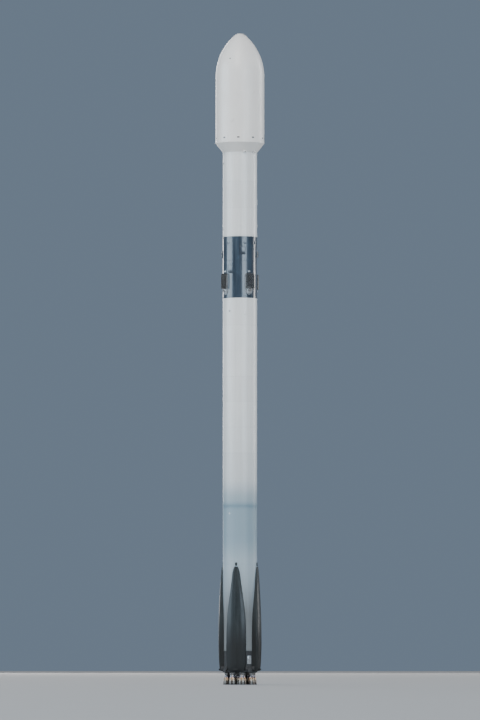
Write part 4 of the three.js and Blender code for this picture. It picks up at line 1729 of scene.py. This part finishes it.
@dataclass
class LandingLegs:
    """Four folded legs: a crowned shell with a spine, joint strips, hinge pins and a foot.

    The outline's rows are a height, half the width there and how far the leg stands out of the core. Each
    part is shaped flat and then wrapped round the inner radius.
    """

    frame: Airframe
    inner: float = 0.922
    edge_share: float = 0.82
    crown: float = 0.16
    rows: int = 60
    columns: int = 18
    spine_steps: int = 40
    bands: tuple[float, ...] = (0.62, 1.6, 2.95, 4.25)
    band_share: float = 0.93
    foot_height: float = 0.3
    outline: tuple[Triple, ...] = (
        (0.075, 0.46, 0.14),
        (0.3, 0.495, 0.19),
        (0.75, 0.51, 0.22),
        (1.5, 0.51, 0.24),
        (2.4, 0.50, 0.235),
        (3.15, 0.465, 0.215),
        (3.8, 0.39, 0.19),
        (4.5, 0.30, 0.155),
        (5.35, 0.19, 0.105),
        (5.65, 0.10, 0.065),
    )

    def half_width(self, height: float) -> float:
        """Half the leg's width at a height, along the core's curve."""
        half = smooth_through([(z, wide) for z, wide, _ in self.outline], height)
        return self.inner * math.asin(half / self.inner)

    def reach(self, height: float, across: float = 0.0) -> float:
        """How far the front face stands out of the inner radius, at a share of the half width."""
        proud = smooth_through([(z, out) for z, _, out in self.outline], height)
        return (proud + self.frame.core - self.inner) * (1 - self.crown * across**4)

    def skin(self) -> Mold:
        """The shell of a leg at azimuth 0.

        Returns:
            The mold.
        """
        low, high = self.outline[0][0], self.outline[-1][0]
        mold = Mold()
        bmesh.ops.create_grid(mold.bm, x_segments=self.columns, y_segments=self.rows, size=1.0)
        made = bmesh.ops.extrude_face_region(mold.bm, geom=list(mold.bm.faces))
        front = {v for v in made["geom"] if isinstance(v, bmesh.types.BMVert)}
        for vert in mold.bm.verts:
            across, height = vert.co.x, low + (high - low) * (vert.co.y + 1) / 2
            width = self.half_width(height) * across
            if vert in front:
                vert.co = (self.reach(height, across), width * self.edge_share, height)
            else:
                vert.co = (0.0, width, height)
        return mold.soften(0.012, 3, 35.0).wrap(self.inner)

    def spine(self) -> Mold:
        """The raised rib up the middle of a leg, which narrows towards the tip.

        Returns:
            The mold, still flat.
        """
        low, high = self.outline[0][0] + 0.25, self.outline[-1][0] - 0.35
        mold = Mold()
        bmesh.ops.create_cube(mold.bm, size=1.0)
        for i in range(1, self.spine_steps):
            mold.cut((0.0, 0.0, i / self.spine_steps - 0.5), (0.0, 0.0, 1.0))
        for vert in mold.bm.verts:
            height = low + (high - low) * (vert.co.z + 0.5)
            half = 0.02 + 0.055 * (high - height) / (high - low)
            proud = 0.012 if vert.co.x > 0 else -0.02
            vert.co = (self.reach(height) + proud, 2 * vert.co.y * half, height)
        return mold.soften(0.006, 2, 35.0)

    def trim(self) -> Mold:
        """The spine and the joint strips of a leg at azimuth 0.

        Returns:
            The mold.
        """
        flat = self.spine()
        for level in self.bands:
            half = self.half_width(level) * self.edge_share
            strip = Mold().slab(2 * half * self.band_share, 0.03, 0.007, 0.0, 0.002, 24)
            for vert in strip.bm.verts:
                vert.co.x += self.reach(level + vert.co.z, vert.co.y / half) - 0.004
            flat.stamp(strip, [moved(0.0, 0.0, level)])
        return flat.wrap(self.inner)

    def build(self) -> None:
        """Shapes the four legs and the catch above each one's tip."""
        radius = self.frame.core
        foot = self.reach(self.foot_height) + self.inner
        leg = self.skin().stamp(self.trim()).trunnions(0.028, (0.44, 0.575), LEG_HINGE)
        leg.block((0.05, 0.30, 0.10), moved(foot + 0.004, 0.0, 0.16), 0.018, 3)
        turns = around(4, 45)
        for number, turn in enumerate(turns, start=1):
            node = f"landing_leg_{number}"
            Mold().stamp(leg, [turn]).publish(f"{node}_shell", LEG_BLACK, [node])
        tip = self.outline[-1][0]
        catch = Mold().block((0.05, 0.11, 0.16), moved(radius + 0.015, 0.0, tip + 0.14), 0.014, 3)
        catch.block((0.05, 0.05, 0.07), moved(radius + 0.03, 0.0, tip + 0.07), 0.01)
        Mold().stamp(catch, turns).publish("leg_catches", LEG_BLACK)


@dataclass
class GridFins:
    """Four folded lattice fins, each on a yoke that steers.

    A fin is shaped at azimuth 0 about its own hinge, which is at a radial distance from the rocket's axis.
    """

    frame: Airframe
    bottom: float = 0.075
    edge: float = 0.024
    corner: float = 0.09
    thick: float = 0.08
    radial: float = 0.99
    columns: int = 8
    rows: int = 12
    step: float = 0.068
    web: float = 0.008
    disc_bolts: tuple[int, ...] = (0, 30, 150, 180, 210, 330)

    def outline(self, inset: float) -> Profile:
        """The fin's outline with its cut top corners.

        Args:
            inset: How far it is drawn in.

        Returns:
            Points across and up.
        """
        half = self.columns * self.step / 2 + self.edge - inset
        low, high = self.bottom + inset, self.bottom + self.rows * self.step + 2 * self.edge - inset
        cut = self.corner - inset * (2 - math.sqrt(2))
        right = [(half, low), (half, high - cut), (half - cut, high)]
        return [*right, *((-x, y) for x, y in reversed(right))]

    def webs(self) -> Mold:
        """The crossed webs inside the fin's frame, in the plane of x and y.

        Returns:
            The mold.
        """
        mold = Mold()
        middle = self.bottom + self.edge + self.rows * self.step / 2
        cells = 2 * math.ceil(math.hypot(self.columns, self.rows) / math.sqrt(8))
        reach = cells * self.step / math.sqrt(2)
        bmesh.ops.create_grid(mold.bm, x_segments=cells, y_segments=cells, size=reach)
        mold.place(moved(0.0, middle, 0.0) @ turned(45))
        points = self.outline(self.edge)
        for (x0, y0), (x1, y1) in zip(points, [*points[1:], points[0]]):
            mold.cut((x0, y0, 0.0), (y1 - y0, x0 - x1, 0.0), drop=True)
        webs = bmesh.ops.inset_individual(
            mold.bm, faces=mold.bm.faces, thickness=self.web / 2, use_even_offset=True
        )
        return mold.keep(webs["faces"]).thicken(self.thick - 0.006)

    def rim(self) -> Mold:
        """The fin's frame, in the plane of x and y.

        Returns:
            The mold.
        """
        mold = Mold().flat(self.outline(0.0))
        bars = bmesh.ops.inset_region(
            mold.bm, faces=mold.bm.faces, thickness=self.edge - self.web / 4, use_even_offset=True
        )
        return mold.keep(bars["faces"]).thicken(self.thick).soften(0.0025, 2)

    def fin(self) -> Mold:
        """The lattice in its frame, stood upright, with the hinge lug and the two arms that join it.

        Returns:
            The mold.
        """
        upright = Matrix(((0, 0, 1, 0), (1, 0, 0, 0), (0, 1, 0, 0), (0, 0, 0, 1)))
        mold = self.webs().stamp(self.rim()).place(moved(self.radial, 0.0, 0.0) @ upright)
        mold.rod(0.046, 0.20, moved(self.radial, -0.10, 0.0) @ SIDEWAYS, 32, 0.004)
        mold.block((0.072, 0.2, 0.085), moved(self.radial, 0.0, 0.0425), 0.008)
        for side in SIDES:
            mold.block((0.05, 0.03, 0.03), moved(self.radial, side * 0.07, 0.09), 0.006)
        return mold

    def yoke(self) -> Mold:
        """The steering yoke: shaft, disc, ears and their bolts.

        Returns:
            The mold.
        """
        mold = Mold().rod(0.08, 0.11, moved(0.82, 0.0, 0.0) @ OUTWARDS, 32)
        mold.rod(0.176, 0.015, moved(0.921, 0.0, 0.0) @ OUTWARDS, 64, 0.003)
        for side in SIDES:
            mold.block((0.075, 0.05, 0.104), moved(0.9585, side * 0.135, 0.0), 0.006)
        mold.trunnions(0.042, (0.11, 0.16), moved(self.radial, 0.0, 0.0), 32, 0.003)
        for azimuth in self.disc_bolts:
            mold.rod(0.008, 0.007, OUTWARDS @ at(azimuth, 0.936, 0.15), 6)
        return mold

    def build(self) -> None:
        """Shapes the four fins, yokes and pins."""
        fin, yoke = self.fin(), self.yoke()
        pin = Mold().rod(0.02, 0.35, moved(self.radial, -0.175, 0.0) @ SIDEWAYS, 24, 0.003)
        height = moved(0.0, 0.0, self.frame.stage_low + self.frame.fin_root)
        for number, turn in enumerate(around(4), start=1):
            blade, fork, place = f"grid_fin_{number}", f"fin_yoke_{number}", [turn @ height]
            Mold().stamp(fin, place).publish(f"{blade}_lattice", FIN_TITANIUM, [blade], blade)
            Mold().stamp(yoke, place).publish(f"{fork}_casting", ALUMINIUM, [fork], fork)
            Mold().stamp(pin, place).publish(f"{fork}_pin", STEEL, body=fork)


@dataclass
class Tunnel:
    """A long cable cover at azimuth 0, with clamps and screws."""

    node: str
    core: float
    segment: float = 1.45
    seam: float = 0.006
    slope: float = 0.024
    clamp_tall: float = 0.045
    screws: int = 6

    def sloped(self, wide: float, tall: float, deep: float, slope: float) -> Mold:
        """A slab whose two long outer edges are sloped.

        Args:
            wide: Its width along y.
            tall: Its height.
            deep: Its thickness.
            slope: How far the slopes reach.

        Returns:
            The mold.
        """
        mold = Mold().slab(wide, tall, deep, 0.0, 0.0, 3)
        edges = []
        for edge in mold.bm.edges:
            first, last = (vert.co for vert in edge.verts)
            outside = all(co.x > deep / 2 and abs(co.y) > wide / 2 - MERGE for co in (first, last))
            if outside and abs(first.z - last.z) > tall / 2:
                edges.append(edge)
        return mold.bevel(edges, slope, 4)

    def build(self) -> None:
        """Shapes the cover in segments, with a clamp over each joint."""
        box = Box.of(self.node)
        low, high, width = box.low.z, box.high.z, box.high.y - box.low.y
        deep = box.high.x - self.core
        count = max(1, round((high - low) / self.segment))
        tall = (high - low) / count
        cover = self.sloped(width - 0.016, tall - self.seam, deep - 0.003, self.slope)
        cover.slab(width, tall - self.seam, 0.006, 0.0, 0.002, 3)
        edge, rows = width / 2 - 0.005, spread(self.screws, tall)
        cover.bolts(0.0035, [moved(0.006, side * edge, z) for side in SIDES for z in rows])
        clamp = self.sloped(width - 0.006, self.clamp_tall, deep, self.slope + 0.003)
        out = self.core + 0.0005
        mold = Mold().stamp(cover, [moved(out, 0.0, low + tall * (i + 0.5)) for i in range(count)])
        mold.stamp(clamp, [moved(out, 0.0, low + tall * i) for i in range(1, count)])
        mold.publish(f"{self.node}_cover", TUNNEL_WHITE, [self.node])


@dataclass
class ThrusterPod:
    """A blister with six small nozzles, four that face out and two that face aside."""

    node: str
    core: float
    azimuth: float
    height: float = 22.425
    wide: float = 0.25
    tall: float = 0.35
    deep: float = 0.075
    out_nozzles: Places = ((-0.06, 0.08), (0.06, 0.08), (-0.06, 0.0), (0.06, 0.0))
    side_nozzle: Span = (0.045, -0.12)
    side_lean: float = math.pi / 2.6

    def build(self) -> None:
        """Shapes the pod and its nozzles."""
        pod = Mold().slab(self.wide, self.tall, self.deep - 0.004, 0.05, 0.03, 4)
        pod.slab(self.wide + 0.03, self.tall + 0.03, 0.006, 0.05, 0.002, 5)
        pod.bolts(0.006, [moved(0.006, y, z) for y in (-0.125, 0.125) for z in (-0.14, 0.0, 0.14)])
        cone = [(0.0, 0.004), (0.008, 0.004), (0.022, 0.024), (0.025, 0.024), (0.012, 0.0), (0.0, 0.0)]
        nozzle = Mold().revolve(cone, 24)
        front = self.deep - 0.006
        nozzles = Mold().stamp(nozzle, [moved(front, y, z) @ OUTWARDS for y, z in self.out_nozzles])
        y, z = self.side_nozzle
        for side in SIDES:
            aim = Matrix.Rotation(side * self.side_lean, 4, "X")
            nozzles.stamp(nozzle, [moved(self.deep - 0.012, side * y, z) @ aim @ OUTWARDS])
        place = at(self.azimuth, self.height)
        pod.wrap(self.core).place(place).publish(f"{self.node}_blister", STAGE_BLACK, [self.node])
        nozzles.wrap(self.core).place(place).publish(f"{self.node}_nozzles", STEEL)


@dataclass
class SkinFittings:
    """Small things that stand on the skin: antenna covers, camera pods, vents and lifting points.

    Their places are an azimuth in degrees and a height.
    """

    core: float
    antennas: Places = ((60, 23.95), (150, 23.95), (240, 23.95), (330, 23.95), (75, 19.2), (255, 19.2))
    cameras: Places = ((120, 23.05), (300, 23.05), (30, 27.3))
    vents: Places = ((165, 27.3), (200, 19.35), (20, 8.5), (200, 8.5), (165, 23.75))
    lifting: Span = (19.72, 27.62)
    screen: float = 0.037
    wire: float = 0.0022

    def build(self) -> None:
        """Shapes every kind of fitting."""
        self.antenna_covers()
        self.camera_pods()
        self.vent_outlets()

    def antenna_covers(self) -> None:
        """Flat rounded covers over the antennas, and the bosses of the lifting points."""
        cover = Mold().slab(0.15, 0.15, 0.012, 0.04, 0.006, 4).wrap(self.core)
        mold = Mold().stamp(cover, [at(azimuth, height) for azimuth, height in self.antennas])
        for height in self.lifting:
            for turn in around(4, 45):
                mold.rod(0.035, 0.022, turn @ moved(self.core - 0.01, 0.0, height) @ OUTWARDS, 24, 0.004)
        mold.publish("antenna_covers", UPPER_WHITE)

    def camera_pods(self) -> None:
        """Small wedge-shaped pods, each with a lens that looks down along the skin."""
        pod = Mold().slab(0.10, 0.20, 0.055, 0.03, 0.0, 1)
        for vert in pod.bm.verts:
            if vert.co.x > 0.03 and vert.co.z > 0:
                vert.co.x *= 0.25
        pod.soften(0.008, 3)
        section = [(0.0, 0.006), (0.012, 0.005), (0.017, 0.008), (0.019, 0.006), (0.019, -0.01)]
        lens = Mold().revolve([*section, (0.0, -0.01)], 24)
        down = moved(0.034, 0.0, -0.1) @ Matrix.Rotation(math.pi, 4, "X")
        places = [at(azimuth, height, self.core - 0.004) for azimuth, height in self.cameras]
        Mold().stamp(pod, places).publish("camera_pods", STAGE_BLACK)
        Mold().stamp(lens, [place @ down for place in places]).publish("camera_lenses", LENS)

    def vent_outlets(self) -> None:
        """Round vent outlets with a rim and a screen."""
        section = [(0.0, 0.003), (0.036, 0.003), (0.038, 0.012), (0.046, 0.012), (0.052, 0.004)]
        outlet = Mold().revolve([*section, (0.056, 0.003), (0.058, -0.008), (0.0, -0.008)], 40)
        for off in spread(7, 0.07):
            length = 2 * math.sqrt(self.screen**2 - off**2)
            outlet.block((length, self.wire, self.wire), moved(0.0, off, 0.007))
            outlet.block((self.wire, length, self.wire), moved(off, 0.0, 0.0085))
        outlet.studs((0.0035, 0.004), 8, 0.051, 0.006)
        places = [at(azimuth, height, self.core) @ OUTWARDS for azimuth, height in self.vents]
        Mold().stamp(outlet, places).publish("vent_outlets", STEEL)


@dataclass
class UmbilicalPanel:
    """A framed plate with round connectors. A port is its place across and up, and its radius."""

    node: str
    core: float
    azimuth: float
    height: float = 0.675
    wide: float = 0.22
    tall: float = 0.45
    deep: float = 0.045
    ports: tuple[Triple, ...] = (
        (0.0, 0.13, 0.055), (-0.045, 0.02, 0.035), (0.045, 0.02, 0.035), (0.0, -0.11, 0.06)
    )

    def build(self) -> None:
        """Shapes the panel and its connectors."""
        place = at(self.azimuth, self.height, self.core - 0.008)
        edge, front = self.wide / 2 - 0.015, self.deep + 0.002
        plate = Mold().slab(self.wide, self.tall, front, 0.02, 0.005)
        rows = spread(5, 1.1 * self.tall)
        plate.bolts(0.0055, [moved(front, side * edge, z) for side in SIDES for z in rows])
        plate.place(place).publish(f"{self.node}_plate", ALUMINIUM, [self.node])
        connectors = Mold()
        for y, z, radius in self.ports:
            section = [(0.0, 0.004), (radius * 0.55, 0.004), (radius * 0.6, 0.002), (radius * 0.6, 0.012)]
            section += [(radius * 0.72, 0.014), (radius, 0.012), (radius, -0.004), (0.0, -0.004)]
            port = Mold().revolve(section, 32).studs((0.003, 0.003), 8, radius * 0.86, 0.012)
            connectors.stamp(port, [moved(self.deep - 0.004, y, z) @ OUTWARDS])
        connectors.place(place).publish(f"{self.node}_ports", STEEL)


@dataclass
class CarriedOver:
    """The frame's own nodes that keep their shape, which get their finish here."""

    nodes: dict[str, bpy.types.Object]

    def build(self, finish: Finish, names: Iterable[str]) -> None:
        """Gives some nodes a finish.

        Args:
            finish: The finish.
            names: The nodes' names.
        """
        for name in names:
            for slot in self.nodes[name].material_slots:
                slot.material = finish.coat()
            LOG.info("%s keeps its own shape", name)


@dataclass(frozen=True)
class Softbox:
    """A tall softbox: its direction from the camera's and its width, both in degrees, strength and tint."""

    name: str
    azimuth: float
    wide: float
    strength: float
    tint: Colour


@dataclass
class Studio:
    """A pale floor, soft light and the camera at the photograph's angle, its eye just over the floor."""

    azimuth: float = -32.0
    distance: float = 320.0
    floor: float = -0.67
    eye: float = 0.9
    aim: float = 16.75
    seen: float = 38.6
    sensor: float = 36.0
    clip: Span = (1.0, 4000.0)
    span: float = 1500.0
    floor_tones: Span = (0.42, 0.45)
    sky: Colour = (0.17, 0.225, 0.30)
    sky_strength: float = 0.85
    sun_strength: float = 1.95
    sun_wide: float = 30.0
    sun_tint: Colour = (1.0, 0.925, 0.83)
    sun_place: Triple = (-12.0, 42.0, 200.0)
    middle: float = 17.0
    softbox_far: float = 800.0
    softbox_tall: float = 31.0
    softbox_rise: float = 9.0
    softboxes: tuple[Softbox, ...] = (
        Softbox("left_softbox", -76.0, 44.0, 3.2, (0.70, 0.86, 1.0)),
        Softbox("right_softbox", 30.0, 31.0, 2.4, (0.70, 0.86, 1.0)),
        Softbox("right_rim_softbox", 116.0, 14.0, 1.1, (1.0, 0.98, 0.95)),
        Softbox("far_softbox", -165.0, 21.0, 1.0, (1.0, 0.98, 0.95)),
    )

    def build(self) -> None:
        """Sets up the floor, lights and camera."""
        self.ground()
        self.sky_light()
        self.lamps()
        self.camera()

    def ground(self) -> None:
        """The pale floor."""
        bench = Bench("studio_floor")
        dark, pale = ((tone, tone, tone) for tone in self.floor_tones)
        grain = bench.clouds(bench.place(), 0.4, 3.0)
        bench.feed({"Base Color": bench.blend(grain, dark, pale), "Roughness": 0.8})
        bm = bmesh.new()
        place = moved(0.0, 0.0, self.floor)
        bmesh.ops.create_circle(bm, cap_ends=True, segments=96, radius=self.span, matrix=place)
        mesh = bpy.data.meshes.new("floor")
        bm.to_mesh(mesh)
        bm.free()
        mesh.materials.append(bench.material)
        self.put("floor", mesh)

    def sky_light(self) -> None:
        """The dim blue-grey light from all round."""
        world = bpy.context.scene.world or bpy.data.worlds.new("studio_world")
        bpy.context.scene.world = world
        world.use_nodes = True
        backdrop = world.node_tree.nodes["Background"]
        backdrop.inputs["Color"].default_value = (*self.sky, 1.0)
        backdrop.inputs["Strength"].default_value = self.sky_strength

    @staticmethod
    def put(name: str, data: bpy.types.ID) -> bpy.types.Object:
        """Makes an object of a mesh, light or camera, and adds it to the scene.

        Args:
            name: The object's name.
            data: What it shows.

        Returns:
            The object.
        """
        obj = bpy.data.objects.new(name, data)
        bpy.context.scene.collection.objects.link(obj)
        return obj

    @staticmethod
    def look(obj: bpy.types.Object, spot: Vector, target: Vector) -> None:
        """Puts a light or the camera at a spot and turns it to a target.

        Args:
            obj: The light or camera.
            spot: Where it goes.
            target: What it faces.
        """
        obj.location = spot
        obj.rotation_mode = "QUATERNION"
        obj.rotation_quaternion = (target - spot).to_track_quat("-Z", "Y")

    def aimed(self, light: bpy.types.Light, azimuth: float, rise: float, far: float) -> None:
        """Adds a light that faces the rocket's middle.

        Args:
            light: The light.
            azimuth: Its direction in degrees, counted from the camera's.
            rise: How high it stands, in degrees.
            far: Its distance from the rocket's middle.
        """
        side, up = math.radians(self.azimuth + azimuth), math.radians(rise)
        way = Vector((math.sin(side) * math.cos(up), -math.cos(side) * math.cos(up), math.sin(up)))
        middle = Vector((0.0, 0.0, self.middle))
        self.look(self.put(light.name, light), middle + way * far, middle)

    def lamps(self) -> None:
        """A broad soft sun, and tall softboxes where the photograph's highlights come from and behind."""
        sun = bpy.data.lights.new("soft_sun", "SUN")
        sun.energy, sun.angle, sun.color = self.sun_strength, math.radians(self.sun_wide), self.sun_tint
        self.aimed(sun, *self.sun_place)
        for box in self.softboxes:
            light = bpy.data.lights.new(box.name, "AREA")
            light.shape = "RECTANGLE"
            light.size = 2 * self.softbox_far * math.tan(math.radians(box.wide / 2))
            light.size_y = 2 * self.softbox_far * math.tan(math.radians(self.softbox_tall / 2))
            light.energy = box.strength * math.pi * self.softbox_far**2
            light.color = box.tint
            self.aimed(light, box.azimuth, self.softbox_rise, self.softbox_far)

    def camera(self) -> None:
        """The camera: far off with a long lens, just above the floor."""
        data = bpy.data.cameras.new("camera")
        data.sensor_width = self.sensor
        data.lens = self.sensor * self.distance / self.seen
        data.clip_start, data.clip_end = self.clip
        camera = self.put("camera", data)
        angle = math.radians(self.azimuth)
        away = Vector((math.sin(angle), -math.cos(angle), 0.0)) * self.distance
        spot = away + UP * (self.floor + self.eye)
        self.look(camera, spot, Vector((0.0, 0.0, self.aim)))
        bpy.context.scene.camera = camera


def main() -> None:
    """Builds the rocket's pieces in order, from the foot up."""
    logging.basicConfig(level=logging.INFO, format="%(message)s")
    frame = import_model()
    airframe = Airframe.read()
    section = EngineSection(airframe)
    section.build()
    for number, (x, y) in enumerate(section.engine_places(), start=1):
        Engine(number, x, y).build()
    LandingLegs(airframe).build()
    TankSection("fuel_tank", LOWER_WHITE).build()
    TankSection("oxidizer_tank", UPPER_WHITE).build()
    Interstage(airframe).build()
    GridFins(airframe).build()
    TankSection("second_stage_tank", UPPER_WHITE).build()
    SecondStageTop(airframe).build()
    Fairing(airframe).build()
    for stage in ("lower", "upper"):
        Tunnel(f"system_tunnel_{stage}", airframe.core).build()
    SkinFittings(airframe.core).build()
    for number, azimuth in ((1, 135.0), (2, 315.0)):
        ThrusterPod(f"thruster_pod_{number}", airframe.core, azimuth).build()
    for number, azimuth in ((1, 90.0), (2, 270.0)):
        UmbilicalPanel(f"umbilical_panel_{number}", airframe.core, azimuth).build()
    UmbilicalPanel(
        "umbilical_panel_3", airframe.core, 345.0, height=25.25, wide=0.18, tall=0.30, deep=0.04,
        ports=((0.0, 0.06, 0.045), (0.0, -0.06, 0.05)),
    ).build()
    carried = CarriedOver(frame["nodes"])
    carried.build(INSULATION, ["thrust_plate"])
    carried.build(STEEL, ["second_stage_engine", *(f"gimbal_cross_{number}" for number in range(1, 10))])
    Studio().build()


if __name__ == "__main__":
    main()
